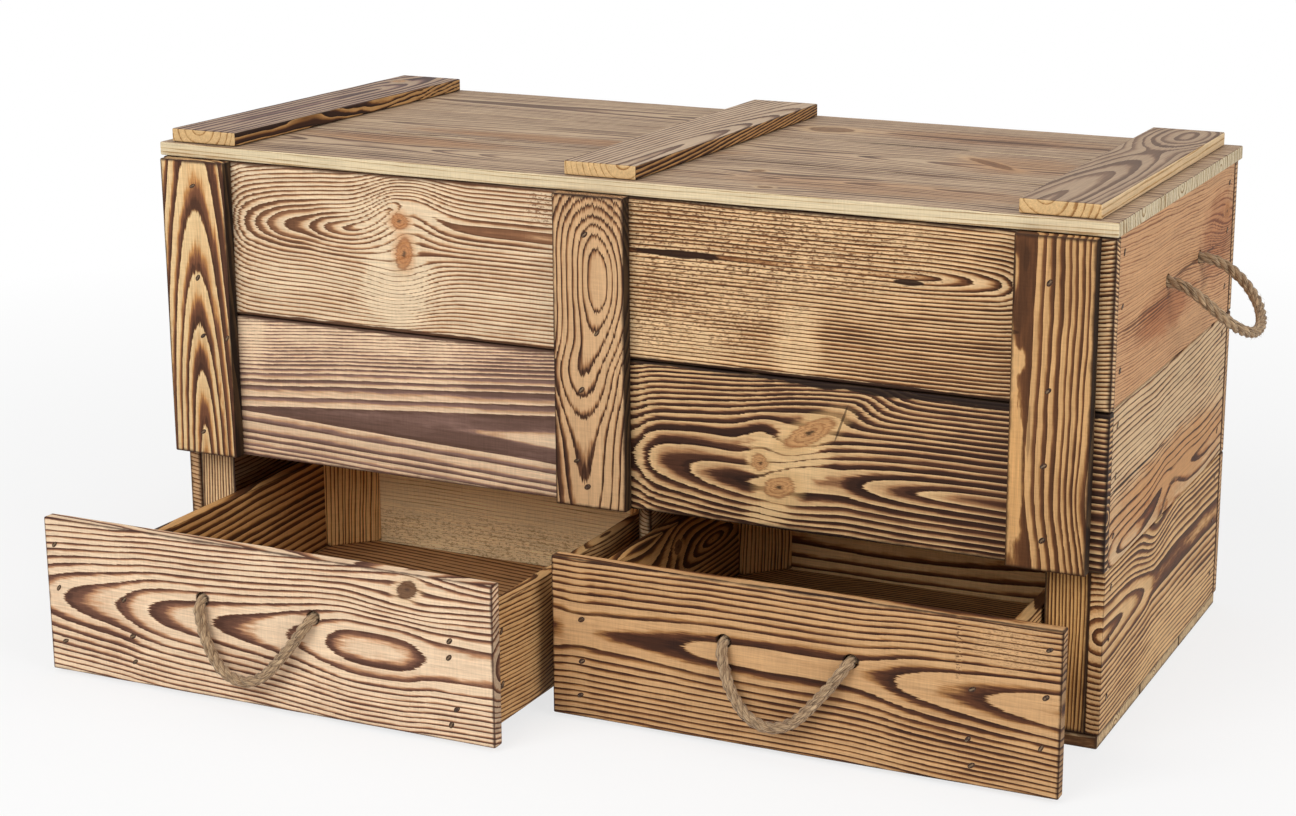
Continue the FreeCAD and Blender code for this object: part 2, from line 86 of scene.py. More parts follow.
# ---------------------------------------------------------------- studio floor and light
# A pale seamless floor, one large soft lamp in front and above, and weaker ones at the right and overhead.
# Only what the camera sees of the floor and the world is lifted to white; the object's light isn't.
FLOOR_SIZE = 9.0
LAMPS = [("front_lamp", (-0.9, -3.2, 2.3), (0, -0.2, 0.25), 2.4, 84),
         ("right_lamp", (3.2, -1.1, 1.7), (0.3, 0, 0.25), 2.0, 48),
         ("top_lamp", (0.2, 0.5, 3.0), (0, 0, 0.4), 2.4, 20)]


class Output:
    """What a shader node gives out. Outputs add up, multiply and divide as plain numbers do."""

    def __init__(self, tree, socket):
        self.tree, self.socket = tree, socket

    def __add__(self, other):
        return maths("ADD", self, other)

    def __sub__(self, other):
        return maths("SUBTRACT", self, other)

    def __rsub__(self, other):
        return maths("SUBTRACT", other, self)

    def __mul__(self, other):
        return maths("MULTIPLY", self, other)

    def __truediv__(self, other):
        return maths("DIVIDE", self, other)


def join(socket, value):
    """Sets a socket, or joins it to another node's output."""
    if isinstance(value, Output):
        value.tree.links.new(value.socket, socket)
    else:
        socket.default_value = value


def new_node(tree, kind, inputs=None, **settings):
    """A shader node with its settings, and its inputs set or joined by name or number."""
    made = tree.nodes.new("ShaderNode" + kind)
    for name, value in settings.items():
        setattr(made, name, value)
    for name, value in (inputs or {}).items():
        join(made.inputs[name], value)
    return made


def add(tree, kind, inputs=None, output=0, **settings):
    """One output of a new shader node."""
    return Output(tree, new_node(tree, kind, inputs, **settings).outputs[output])


def tree_of(*values):
    return next(value.tree for value in values if isinstance(value, Output))


def maths(operation, *values):
    return add(tree_of(*values), "Math", dict(enumerate(values)), operation=operation)


def empty_tree(owner):
    owner.use_nodes = True
    owner.node_tree.nodes.clear()
    return owner.node_tree


def seen_directly(tree):
    """1 where the camera, a reflection or a refraction looks at the surface, and 0 for its light."""
    path = new_node(tree, "LightPath").outputs
    camera_ray, glossy, through = (Output(tree, path[f"Is {kind} Ray"])
                                   for kind in ("Camera", "Glossy", "Transmission"))
    return maths("MAXIMUM", maths("MAXIMUM", camera_ray, glossy), through)


world = bpy.data.worlds.new("studio")
bpy.context.scene.world = world
tree = empty_tree(world)
sky = add(tree, "Background", {"Color": (1, 1, 1, 1), "Strength": 0.33})
white = add(tree, "Background", {"Color": (1, 1, 1, 1), "Strength": 1.0})
shown = add(tree, "MixShader", {0: seen_directly(tree), 1: sky, 2: white})
new_node(tree, "OutputWorld", {"Surface": shown})

paper = bpy.data.materials.new("paper_floor")
tree = empty_tree(paper)
lit = add(tree, "BsdfDiffuse", {"Color": (0.86, 0.86, 0.86, 1)})
glow = add(tree, "Emission", {"Color": (1, 1, 1, 1), "Strength": 1.0})
where = add(tree, "TexCoord", output="Object")
from_chest = add(tree, "VectorMath", {0: where}, output="Value", operation="LENGTH")
fading = add(tree, "MapRange", {"Value": from_chest, "From Min": 0.7, "From Max": 2.0,
                                "To Min": 0.74, "To Max": 1.0})
both = add(tree, "MixShader", {0: seen_directly(tree) * fading, 1: lit, 2: glow})
new_node(tree, "OutputMaterial", {"Surface": both})
sweep = bmesh.new()
bmesh.ops.create_grid(sweep, x_segments=2, y_segments=2, size=FLOOR_SIZE)
floor_mesh = bpy.data.meshes.new("floor")
sweep.to_mesh(floor_mesh)
floor_mesh.materials.append(paper)
floor = placed("floor", floor_mesh)

for name, where, towards, size, power in LAMPS:
    lamp = bpy.data.lights.new(name, "AREA")
    lamp.size, lamp.energy = size, power
    lamp_object = placed(name, lamp)
    lamp_object.location = where
    lamp_object.rotation_euler = (Vector(towards) - Vector(where)).to_track_quat("-Z", "Y").to_euler()

# ---------------------------------------------------------------- rope handles
# Each handle is a short piece of three-strand jute rope, 11 mm thick. It comes out of one hole, hangs in a
# loop, goes back in at the other hole, and an overhand knot behind the board holds each end.
BOARD = 0.014                  # thickness of every board
ROPE_RADIUS = 0.0055
ROPE_OUT = 0.0065              # from the face of the board to the line that a loop swings about
ROPE_BEND = 0.022              # of the loop next to its holes, which bends as it swings
ROPE_STEP = 0.0011             # between the points of a rope's line
STRAND_RADIUS, STRAND_OUT = 0.55, 0.46      # of a strand, and how far out it lies, in radii of the rope
TWIST = 5.4                    # radii of rope for one turn of the strands
KNOT_ROPE, KNOT_REACH, KNOT_DEPTH = 0.0040, 0.0027, 0.011      # pulled tight, so thinner than the loop
FIBRE_ROOT, FIBRE_TIP = 0.00015, 0.00005
DRAWERS = {"left": (-0.317, -0.451), "right": (0.179, -0.351)}      # first hole, and face of the front
DRAWER_HOLE_HEIGHT = 0.102
SIDE_HOLES, SIDE_HOLE_HEIGHT, SIDE_FACE = (-0.045, 0.075), 0.405, 0.496
# The route of each loop: along the board, out from it and down, in millimetres from its first hole.
DRAWER_LOOP = [(0, -20, 0), (0, 0, 0), (3, 1, 22), (12, 3, 45), (28.5, 6, 65), (51.5, 8, 71.5),
               (74, 7.5, 63.5), (92, 5, 43.5), (109, 2.5, 22.5), (124, 0, 0), (124, -20, 0)]
SIDE_LOOP = [(0, -20, 0), (0, 0, 0), (0.5, 19.5, 9.5), (3, 38.5, 25), (12, 54.5, 40), (34, 65, 51),
             (61, 67.5, 54.5), (88, 65, 51.5), (111, 57, 42), (126, 43.5, 28.5), (131, 27, 14.5),
             (127, 11.5, 4.5), (120, 0, 0), (120, -20, 0)]
# Overhand knot, twice round its own middle, in units of the knot's reach.
KNOT = [(math.sin(t) + 2 * math.sin(2 * t), math.cos(t) - 2 * math.cos(2 * t), -1.1 * math.sin(3 * t))
        for t in (math.tau * turn / 24 for turn in range(23))]


def tint(code):
    """A written colour such as #c8a070, as the shader takes it."""
    parts = [int(code[i:i + 2], 16) / 255 for i in (1, 3, 5)]
    return (*[p / 12.92 if p <= 0.04045 else ((p + 0.055) / 1.055) ** 2.4 for p in parts], 1.0)


def mixed(share, low, high, mode="MIX"):
    return add(tree_of(share, low, high), "Mix", {"Factor": share, "A": low, "B": high}, output="Result",
               data_type="RGBA", blend_type=mode)


def rising(value, low, high):
    """0 below low, 1 above high, and smooth between."""
    return add(value.tree, "MapRange", {"Value": value, "From Min": low, "From Max": high},
               interpolation_type="SMOOTHSTEP")


def rope_line(points):
    """The line of a rope laid along its route, as close points an even step apart."""
    route = bpy.data.curves.new("route", "CURVE")
    route.dimensions, route.resolution_u = "3D", 32
    spline = route.splines.new("NURBS")
    spline.points.add(len(points) - 1)
    for point, place in zip(spline.points, points):
        point.co = (*place, 1)
    spline.order_u = 3
    spline.use_endpoint_u = True
    holder = bpy.data.objects.new("route", route)
    laid = bpy.data.meshes.new_from_object(holder)
    line = [vertex.co.copy() for vertex in laid.vertices]
    bpy.data.objects.remove(holder)
    bpy.data.curves.remove(route)
    bpy.data.meshes.remove(laid)
    run = [0.0]
    for before, after in zip(line, line[1:]):
        run.append(run[-1] + (after - before).length)
    count = max(8, round(run[-1] / ROPE_STEP))
    even, index = [], 0
    for number in range(count + 1):
        goal = run[-1] * number / count
        while index < len(run) - 2 and run[index + 1] < goal:
            index += 1
        share = (goal - run[index]) / max(run[index + 1] - run[index], 1e-9)
        even.append(line[index].lerp(line[index + 1], min(1.0, share)))
    return even, run[-1] / count


def heading(line, index):
    return (line[min(index + 1, len(line) - 1)] - line[max(index - 1, 0)]).normalized()


def square_to(line):
    """Two directions square to the line at each of its points, which don't spin as the line turns."""
    side = (line[1] - line[0]).orthogonal().normalized()
    found = []
    for index in range(len(line)):
        ahead = heading(line, index)
        side = (side - ahead * side.dot(ahead)).normalized()
        found.append((side, ahead.cross(side)))
    return found


def lay_rope(name, lines, radius, hairs, seed):
    """Three twisted strands along each line, with stray fibres, as one mesh."""
    chance = random.Random(seed)
    strands = bpy.data.curves.new(name, "CURVE")
    strands.dimensions, strands.bevel_depth, strands.bevel_resolution = "3D", STRAND_RADIUS * radius, 2
    strands.use_fill_caps = True
    counts, fuzz = [], []
    for line, gap in lines:
        square = square_to(line)
        for strand in range(3):
            spline = strands.splines.new("POLY")
            spline.points.add(len(line) - 1)
            for index, point in enumerate(spline.points):
                angle = math.tau * (strand / 3 + index * gap / (TWIST * radius))
                first, second = square[index]
                outward = first * math.cos(angle) + second * math.sin(angle)
                place = line[index] + outward * STRAND_OUT * radius
                point.co = (*place, 1)
                point.radius = 1 + 0.05 * noise.noise(Vector((index * 0.21, strand * 9, seed)))
                if chance.random() < hairs:
                    lean = (heading(line, index) * chance.choice((-1, 1))
                            + outward * chance.uniform(0.1, 0.42)
                            + first * chance.uniform(-0.2, 0.2)).normalized()
                    root = place + outward * (1 - STRAND_OUT) * radius
                    fuzz.append((root, lean, chance.uniform(0.003, 0.006)))
            counts.append(len(line))
    holder = bpy.data.objects.new(name, strands)
    mesh = bpy.data.meshes.new_from_object(holder)
    bpy.data.objects.remove(holder)
    # reach, each point's distance from the rope's middle in radii, sets the painted shade in the grooves.
    for attribute, kind in (("lay", "FLOAT_VECTOR"), ("reach", "FLOAT")):
        mesh.attributes.new(attribute, kind, "POINT")
    lay, reach = mesh.attributes["lay"].data, mesh.attributes["reach"].data
    around = len(mesh.vertices) // sum(counts)
    vertex = 0
    for strand, count in enumerate(counts):
        for index in range(count):
            for turn in range(around):
                angle = math.tau * turn / around + index * 0.16
                lay[vertex].vector = (index * 1.1, 3 * math.cos(angle) + 20 * strand, 3 * math.sin(angle))
                middle = lines[strand // 3][0][index]
                reach[vertex].value = (mesh.vertices[vertex].co - middle).length / radius
                vertex += 1
    solid = bmesh.new()
    solid.from_mesh(mesh)
    layer = solid.verts.layers.float["reach"]
    for root, lean, length in fuzz:
        ends = bmesh.ops.create_cone(solid, segments=3, radius1=FIBRE_ROOT, radius2=FIBRE_TIP,
                                     depth=length)["verts"]
        turn = lean.to_track_quat("Z", "X").to_matrix().to_4x4()
        bmesh.ops.transform(solid, matrix=Matrix.Translation(root + lean * length * 0.42) @ turn,
                            verts=ends)
        for end in ends:
            end[layer] = 1.0
    solid.to_mesh(mesh)
    mesh.materials.clear()
    mesh.materials.append(jute)
    for face in mesh.polygons:
        face.use_smooth = True
    piece = placed(name, mesh)
    return piece


jute = bpy.data.materials.new("twisted_jute")
tree = empty_tree(jute)
lay = add(tree, "Attribute", output="Vector", attribute_name="lay")
along = add(tree, "Mapping", {"Vector": lay, "Scale": (0.12, 0.85, 0.85)})
fibres = add(tree, "TexNoise", {"Vector": along, "Scale": 1.0, "Detail": 3.0, "Roughness": 0.65})
blotch = add(tree, "TexNoise", {"Vector": lay, "Scale": 0.11, "Detail": 2.0})
lit_side = add(tree, "MapRange", {"Value": fibres, "From Min": 0.36, "From Max": 0.66})
aged = add(tree, "MapRange", {"Value": blotch, "From Min": 0.35, "From Max": 0.7, "To Max": 0.45})
worn = mixed(aged, mixed(lit_side, tint("#4f3823"), tint("#d3b48d")), tint("#8d6c4a"))
# Painted shade: deep in the grooves between strands (reach under 0.84 radii) the colour turns dark brown.
outside_painted_groove_shade = rising(add(tree, "Attribute", output="Fac", attribute_name="reach"), 0.84, 0.99)
raised = add(tree, "Bump", {"Height": fibres, "Strength": 1.0, "Distance": 0.0009})
skin = add(tree, "BsdfPrincipled", {"Base Color": mixed(outside_painted_groove_shade, tint("#2c1d12"), worn),
                                    "Roughness": 0.85, "Sheen Weight": 0.15, "Normal": raised})
new_node(tree, "OutputMaterial", {"Surface": skin})


def rope_handle(body, swing, start, along, outward, route, slope):
    """A hanging loop that bends where it leaves its holes. Gives the places of its two knots."""
    start, along, outward = Vector(start), Vector(along), Vector(outward)
    down = Vector((0, 0, -1))
    line, gap = rope_line([start + (along * a + outward * b + down * c) / 1000 for a, b, c in route])
    loop = lay_rope(swing + "_hanging", [(line, gap)], ROPE_RADIUS, 0.3, len(swing))
    lead = (outward * math.cos(slope) + down * math.sin(slope)) * ROPE_BEND
    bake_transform(loop, body, swing, start=start, end=start + lead)
    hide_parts(swing + "_loop")
    span = route[-1][0] / 1000
    return [start + along * span * end - outward * (ROPE_OUT + BOARD + KNOT_DEPTH) for end in (0, 1)]


def knots(name, body, centres, replaced):
    """An overhand knot round the end of each rope, turned to face along its hole."""
    lines = []
    for centre, outward in centres:
        turn = Vector(outward).to_track_quat("Z", "Y").to_matrix()
        lines.append(rope_line([Vector(centre) + turn @ Vector(point) * KNOT_REACH for point in KNOT]))
    piece = lay_rope(name, lines, KNOT_ROPE, 0.05, len(name))
    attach(piece, body)
    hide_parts(replaced)


for side, (first, face) in DRAWERS.items():
    drawer = side + "_drawer"
    held = rope_handle(drawer, drawer + "_rope", (first, face - ROPE_OUT, DRAWER_HOLE_HEIGHT), (1, 0, 0),
                       (0, -1, 0), DRAWER_LOOP, math.radians(90))
    knots(drawer + "_knots", drawer, [(centre, (0, -1, 0)) for centre in held], drawer + "_rope_tails")
side_knots = []
for side, sign in (("left", -1), ("right", 1)):
    first_hole = (sign * (SIDE_FACE + ROPE_OUT), SIDE_HOLES[0], SIDE_HOLE_HEIGHT)
    held = rope_handle("carcass", side + "_side_rope", first_hole, (0, 1, 0), (sign, 0, 0), SIDE_LOOP,
                       math.radians(39))
    side_knots += [(centre, (sign, 0, 0)) for centre in held]
knots("side_knots", "carcass", side_knots, "side_rope_tails")

# ---------------------------------------------------------------- flamed softwood
# Every board is sawn spruce or pine, 14 mm thick, scorched with a torch and brushed, so that the late wood
# of each yearly ring stands out dark between pale early wood. Distances in these effects are millimetres
# in the board's own frame: along the grain, across the face, and in from the face.
SEED_STEPS = (917.0, 331.0, 173.0)      # how far each seed moves the noise


def effect(name, takes, gives):
    """An empty node group with named inputs and outputs."""
    group = bpy.data.node_groups.new(name, "ShaderNodeTree")
    for label, value in takes.items():
        kind = "Float" if isinstance(value, (int, float)) else "Color" if len(value) == 4 else "Vector"
        socket = group.interface.new_socket(label, in_out="INPUT", socket_type="NodeSocket" + kind)
        socket.default_value = value
    for label, kind in gives.items():
        group.interface.new_socket(label, in_out="OUTPUT", socket_type="NodeSocket" + kind)
    taken = group.nodes.new("NodeGroupInput").outputs
    given = group.nodes.new("NodeGroupOutput").inputs
    return group, {label: Output(group, taken[label]) for label in takes}, given


def use(tree, group, inputs):
    """A node group placed in a material, as its outputs by name."""
    made = tree.nodes.new("ShaderNodeGroup")
    made.node_tree = group
    for name, value in inputs.items():
        join(made.inputs[name], value)
    return {socket.name: Output(tree, socket) for socket in made.outputs}


def split(vector):
    parts = new_node(vector.tree, "SeparateXYZ", {0: vector}).outputs
    return [Output(vector.tree, part) for part in parts]


def combine(*parts):
    return add(tree_of(*parts), "CombineXYZ", dict(enumerate(parts)))


def vectors(operation, first, second):
    return add(tree_of(first, second), "VectorMath", {0: first, 1: second}, operation=operation)


def streaks(where, seed, scale, detail=2.0, roughness=0.5):
    """Noise with its own size along, across and into the board."""
    moved = vectors("ADD", where, combine(*[seed * far for far in SEED_STEPS]))
    return add(where.tree, "TexNoise", {"Vector": vectors("MULTIPLY", moved, scale), "Scale": 1.0,
                                        "Detail": detail, "Roughness": roughness})


def about(value, reach):
    """Noise as a sway to both sides of nothing."""
    return (value - 0.5) * reach


def squared(value):
    return value * value


def falling(value, low, high):
    """1 below low, 0 above high, and smooth between."""
    return 1.0 - rising(value, low, high)


def blend_of(share, low, high):
    return (1.0 - share) * low + share * high


def clamped(value):
    """A sum or product, kept between 0 and 1."""
    value.socket.node.use_clamp = True
    return value


# The grain wanders across the board, and frays into fingers along it.
wandering, into, out = effect("wandering_grain", {"Board": (0, 0, 0), "Wander": 2.0, "Fingers": 6.0,
                                                  "Seed": 1.0}, {"Grain": "Vector"})
board, seed = into["Board"], into["Seed"]
slow = streaks(board, seed, (0.006, 0.014, 0.03), 1.5, 0.4)
quick = streaks(board, seed, (0.03, 0.04, 0.05), 1.0)
finger = streaks(board, seed, (0.03, 0.75, 0.75), 3.0, 0.7)
u, v, w = split(board)
sway = about(slow, 4.0) + about(quick, 0.5)
join(out["Grain"], combine(u + about(finger, into["Fingers"] * 2.0), v + sway * into["Wander"], w))

# A knot parts the grain round it, further on one side than on the other, and shows its own small rings.
knotted, into, out = effect("knot", {"Grain": (0, 0, 0), "Centre": (0, 0, 0), "Size": (6, 6, 1),
                                     "Lean": 0.0,
                                     "Push": 0.6, "Reach": (60, 30, 60), "Seed": 1.0},
                            {"Grain": "Vector", "Knot": "Float", "Halo": "Float", "Rings": "Float"})
grain = into["Grain"]
du, dv = split(vectors("SUBTRACT", grain, into["Centre"]))[:2]
before, beside, after = split(into["Reach"])
leaned = du - dv * into["Lean"]
along = blend_of(maths("LESS_THAN", leaned, 0.0), after, before)
fall = maths("EXPONENT", (squared(leaned / along) + squared(dv / beside)) * -1.0)
u, v, w = split(grain)
join(out["Grain"], combine(u, v - dv * fall * into["Push"], w))
length, height = split(into["Size"])[:2]
span = maths("SQRT", squared(leaned / length) + squared(dv / height))
span = span + about(streaks(grain, into["Seed"], (0.1, 0.1, 0.1)), 0.3)
join(out["Knot"], falling(span, 0.85, 1.05))
join(out["Halo"], falling(span, 1.0, 1.9))
join(out["Rings"], span * 3.4)

# How far the wood at this place is from the heart of the tree.
heartwood, into, out = effect("distance_from_heart", {"Grain": (0, 0, 0), "Heart": 0.0, "Depth": 10.0,
                                                      "Taper": 0.0}, {"Distance": "Float"})
u, v, w = split(into["Grain"])
to_heart = maths("SQRT", squared(v - into["Heart"]) + squared(into["Depth"] + w))
join(out["Distance"], to_heart - u * into["Taper"])

# A soft-edged oval place on a board.
oval, into, out = effect("scorched_place", {"Board": (0, 0, 0), "Centre": (0, 0, 0), "Size": (50, 20, 1),
                                            "Lean": 0.0, "Seed": 1.0}, {"Place": "Float"})
du, dv, dw = split(vectors("SUBTRACT", into["Board"], into["Centre"]))
nu, nv = split(vectors("DIVIDE", combine(du - dv * into["Lean"], dv, dw), into["Size"]))[:2]
ragged = streaks(into["Board"], into["Seed"], (0.035, 0.12, 0.05), 3.0, 0.6)
join(out["Place"], falling(maths("SQRT", squared(nu) + squared(nv)) + about(ragged, 0.9), 0.45, 1.15))

# The torch chars the edges of a board first.
edges, into, out = effect("charred_edges", {"Board": (0, 0, 0), "Low": (0, 0, 0), "High": (1, 1, 1),
                                            "Reach": 6.0, "Seed": 1.0}, {"Char": "Float"})
iu, iv, iw = split(vectors("MINIMUM", vectors("SUBTRACT", into["Board"], into["Low"]),
                           vectors("SUBTRACT", into["High"], into["Board"])))
from_edge = maths("MAXIMUM", maths("MINIMUM", iu, iv), maths("MINIMUM", maths("MAXIMUM", iu, iv), iw))
ragged = streaks(into["Board"], into["Seed"], (0.05, 0.09, 0.09), 3.0, 0.65)
reach = into["Reach"] * (ragged * 2.0)
join(out["Char"], falling(from_edge, reach * 0.1, reach))

# The colour and relief of one flamed face. Each ring goes from pale early wood through honey to scorched
# late wood, which ends at a crisp dark line; more scorch takes in more of the ring.
flame, into, out = effect("flamed_face", {
    "Board": (0, 0, 0), "Years": 0.0, "Uneven": 0.5, "Scorch": 0.5, "Char": 0.0, "Knot": 0.0, "Halo": 0.0,
    "Knot Rings": 0.0, "Knot Dark": 0.0, "Knot Show": 0.92, "Rough": 0.0, "Stain": 0.0,
    "Stain Tone": (1, 0.7, 0.4, 1), "Pale": (0.8, 0.6, 0.4, 1), "Honey": (0.6, 0.4, 0.2, 1),
    "Brown": (0.3, 0.15, 0.07, 1), "Coal": (0.05, 0.02, 0.01, 1), "Line": 0.8, "Turned": 0.0, "Seed": 1.0,
}, {"Color": "Color", "Roughness": "Float", "Height": "Float"})
board, seed = into["Board"], into["Seed"]
fine = streaks(board, seed, (0.03, 1.2, 1.2), 3.0, 0.7)
coarse = streaks(board, seed, (0.012, 0.42, 0.42), 2.0, 0.6)
sawn = streaks(board, seed, (0.55, 0.05, 0.05), 2.0, 0.6)
patchy = streaks(board, seed, (0.011, 0.03, 0.03), 3.0, 0.6)
broken = streaks(board, seed, (0.045, 0.35, 0.35), 2.0, 0.6)
dash = streaks(board, seed, (0.24, 0.66, 0.66), 3.0, 0.7)

scorch = into["Scorch"] + about(patchy, 0.9) + about(broken, 0.5) - into["Rough"] * 0.14
scorch = clamped(scorch - into["Halo"] * 0.5)
drift = add(flame, "TexNoise", {"W": into["Years"] * 0.55 + seed * 31.7, "Scale": 1.0, "Detail": 1.0},
            noise_dimensions="1D")
rings = into["Years"] + about(drift, into["Uneven"]) + about(fine, 0.14)
part = maths("FRACT", rings)
part = blend_of(into["Turned"], part, 1.0 - part)
year = add(flame, "TexWhiteNoise", {"W": maths("FLOOR", rings)}, output="Value", noise_dimensions="1D")
edge = falling(part, 0.955, 1.0)
late = rising(part, 0.8 - scorch * 0.8, 0.98 - scorch * 0.36) * edge
late = clamped(late * ((year * 0.26 + 0.74) * (scorch * 0.52 + 0.62)))
sharp = 0.9 - into["Line"] * 0.16
thin = rising(part, sharp, sharp + 0.09) * edge * into["Line"]
thin = clamped(thin * (rising(broken, 0.3, 0.55) * 0.7 + 0.3))
dashes = clamped(rising(dash, 0.53, 0.575) * into["Rough"])
char = clamped(into["Char"] * (late * 0.03 + 0.97))

colour = mixed(rising(scorch, 0.2, 1.0) * 0.45, into["Pale"], into["Honey"])
colour = mixed(falling(part, 0.03, 0.16) * 0.9, colour, into["Pale"])
colour = mixed(clamped(late * 3.0), colour, into["Honey"])
colour = mixed(clamped(late * 3.0 - 1.0), colour, into["Brown"])
colour = mixed(clamped(late * 3.0 - 2.0) * 0.7, colour, into["Coal"])
colour = mixed(thin * 0.8, colour, into["Coal"])
knot_rings = into["Knot Rings"]
knot_tone = mixed(rising(maths("FRACT", knot_rings), 0.4, 0.95) * 0.75, tint("#c0905f"), tint("#8f5c38"))
knot_tone = mixed(falling(knot_rings, 0.35, 0.8), knot_tone, tint("#33190e"))
knot_tone = mixed(rising(knot_rings, 2.7, 3.4) * 0.6, knot_tone, tint("#6b432a"))
knot_tone = mixed(into["Knot Dark"], knot_tone, tint("#3f1e12"))
halo_tone = mixed(0.55, into["Pale"], tint("#b98a4e"))
colour = mixed(into["Halo"] * (into["Knot Show"] * 0.55), colour, halo_tone)
colour = mixed(into["Knot"] * into["Knot Show"], colour, knot_tone)
colour = mixed(into["Stain"], colour, into["Stain Tone"], "MULTIPLY")
colour = mixed(dashes * 0.9, colour, mixed(0.15, into["Brown"], into["Coal"]))
colour = mixed(char, colour, into["Coal"])
shade = about(fine, 0.75) + about(coarse, 0.55) + about(sawn, 0.3) + 1.0
join(out["Color"], mixed(1.0, colour, combine(shade, shade, shade), "MULTIPLY"))
join(out["Roughness"], fine * 0.26 + 0.5)
join(out["Height"], late * 0.55 + fine * 0.45 - dashes * 0.8)


def curve_along(value, points):
    """A curve through points, such as (distance along the board, how deep the heart is)."""
    made = new_node(value.tree, "FloatCurve", {"Value": value})
    made.mapping.use_clip = False
    made.mapping.extend = "EXTRAPOLATED"
    line = made.mapping.curves[0]
    for point, (x, y) in zip(line.points, (points[0], points[-1])):
        point.location = (x, y)
    for x, y in points[1:-1]:
        line.points.new(x, y)
    for point in line.points:
        point.handle_type = "AUTO_CLAMPED"
    made.mapping.update()
    return Output(value.tree, made.outputs[0])


def counted(*distances, first=0):
    """Yearly rings one after the other, at these distances from the heart."""
    return [(distance, first + number) for number, distance in enumerate(distances)]


# A board's own frame: which way its grain runs, which way its face is wide, and which way that face looks.
LAYS = {"XZ": ((1, 0, 0), (0, 0, 1), (0, -1, 0)), "ZX": ((0, 0, 1), (1, 0, 0), (0, 1, 0)),
        "YZ": ((0, 1, 0), (0, 0, 1), (1, 0, 0)), "XY": ((1, 0, 0), (0, 1, 0), (0, 0, 1)),
        "YX": ((0, 1, 0), (1, 0, 0), (0, 0, -1))}
TANNED = ("#e2c49a", "#c0925f", "#865838", "#3c2416")


def flamed(name, node, lay, heart, depth, years=None, pitch=6.0, taper=0.0, uneven=0.5, turned=0.0,
           wander=2.0, fingers=5.0, seed=1.0, tones=TANNED, scorch=0.4, line=0.8, edge=5.0, relief=0.35,
           knots=(), knot_dark=0.0, knot_show=0.92, places=(), char=(), rough=(), stains=(),
           stain="#f4c79c"):
    """The material of one board. heart and depth say where the heart of the tree lies along the board: its
    place across the face, and how deep it is behind it. years are (distance from the heart, ring number).
    places, char, rough and stains are (centre, size, how much more scorched, charred, rough or stained)."""
    made = bpy.data.materials.new(name)
    tree = empty_tree(made)
    turn = Matrix(LAYS[lay])
    corners = [turn @ (corner * 1000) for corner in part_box(node)]
    least = Vector(map(min, *corners))
    most = Vector(map(max, *corners))
    face = most.z if lay not in ("ZX", "YX") else least.z
    least.z, most.z = least.z - face, most.z - face
    board = add(tree, "Mapping", {"Vector": add(tree, "TexCoord", output="Object"), "Scale": (1000,) * 3,
                                  "Rotation": turn.to_euler(), "Location": (0, 0, -face)})
    grain = use(tree, wandering, {"Board": board, "Wander": wander, "Fingers": fingers,
                                  "Seed": seed})["Grain"]
    masks = {"Knot": 0.0, "Halo": 0.0}
    knot_rings = 0.0
    for centre, size, lean, push, reach in knots:
        found = use(tree, knotted, {"Grain": grain, "Centre": (*centre, 0), "Size": (*size, 1),
                                    "Lean": lean,
                                    "Push": push, "Reach": reach, "Seed": seed})
        grain = found["Grain"]
        if masks["Knot"]:
            knot_rings = blend_of(found["Knot"], knot_rings, found["Rings"])
        else:
            knot_rings = found["Rings"]
        for mask, value in masks.items():
            masks[mask] = maths("MAXIMUM", value, found[mask])
    u = split(grain)[0]
    distance = use(tree, heartwood, {"Grain": grain, "Heart": curve_along(u, heart),
                                     "Depth": curve_along(u, depth), "Taper": taper})["Distance"]

    def patches(kind, places, start):
        for centre, size, amount, *lean in places:
            patch = use(tree, oval, {"Board": board, "Centre": (*centre, 0), "Size": (*size, 1),
                                     "Lean": sum(lean), "Seed": seed})["Place"]
            start = maths(kind, start, patch * amount)
        return start

    coal = use(tree, edges, {"Board": board, "Low": least, "High": most, "Reach": edge,
                             "Seed": seed})["Char"]
    if char:
        coal = maths("MAXIMUM", coal, rising(patches("MAXIMUM", char, 0.0), 0.25, 0.6))
    colours = {part: tint(code) for part, code in zip(("Pale", "Honey", "Brown", "Coal"), tones)}
    face = use(tree, flame, {
        "Board": board, "Years": curve_along(distance, years or [(0, 0), (100, 100 / pitch)]),
        "Uneven": uneven, "Scorch": patches("ADD", places, scorch), "Char": coal,
        "Rough": patches("MAXIMUM", rough, 0.0), "Stain": patches("MAXIMUM", stains, 0.0),
        "Stain Tone": tint(stain), "Line": line, "Turned": turned, "Seed": seed,
        "Knot Rings": knot_rings, "Knot Dark": knot_dark, "Knot Show": knot_show, **masks, **colours})
    raised = add(tree, "Bump", {"Height": face["Height"], "Strength": relief, "Distance": 0.0008})
    skin = add(tree, "BsdfPrincipled", {"Base Color": face["Color"], "Roughness": face["Roughness"],
                                        "Normal": raised, "Specular IOR Level": 0.15})
    new_node(tree, "OutputMaterial", {"Surface": skin})
    return made


EASED = 0.0014                 # off each edge of a board
EDGE_WANDER = 0.0005           # how far a sawn edge strays
HOLE_RADIUS, DRILL_LENGTH = 0.007, 0.06


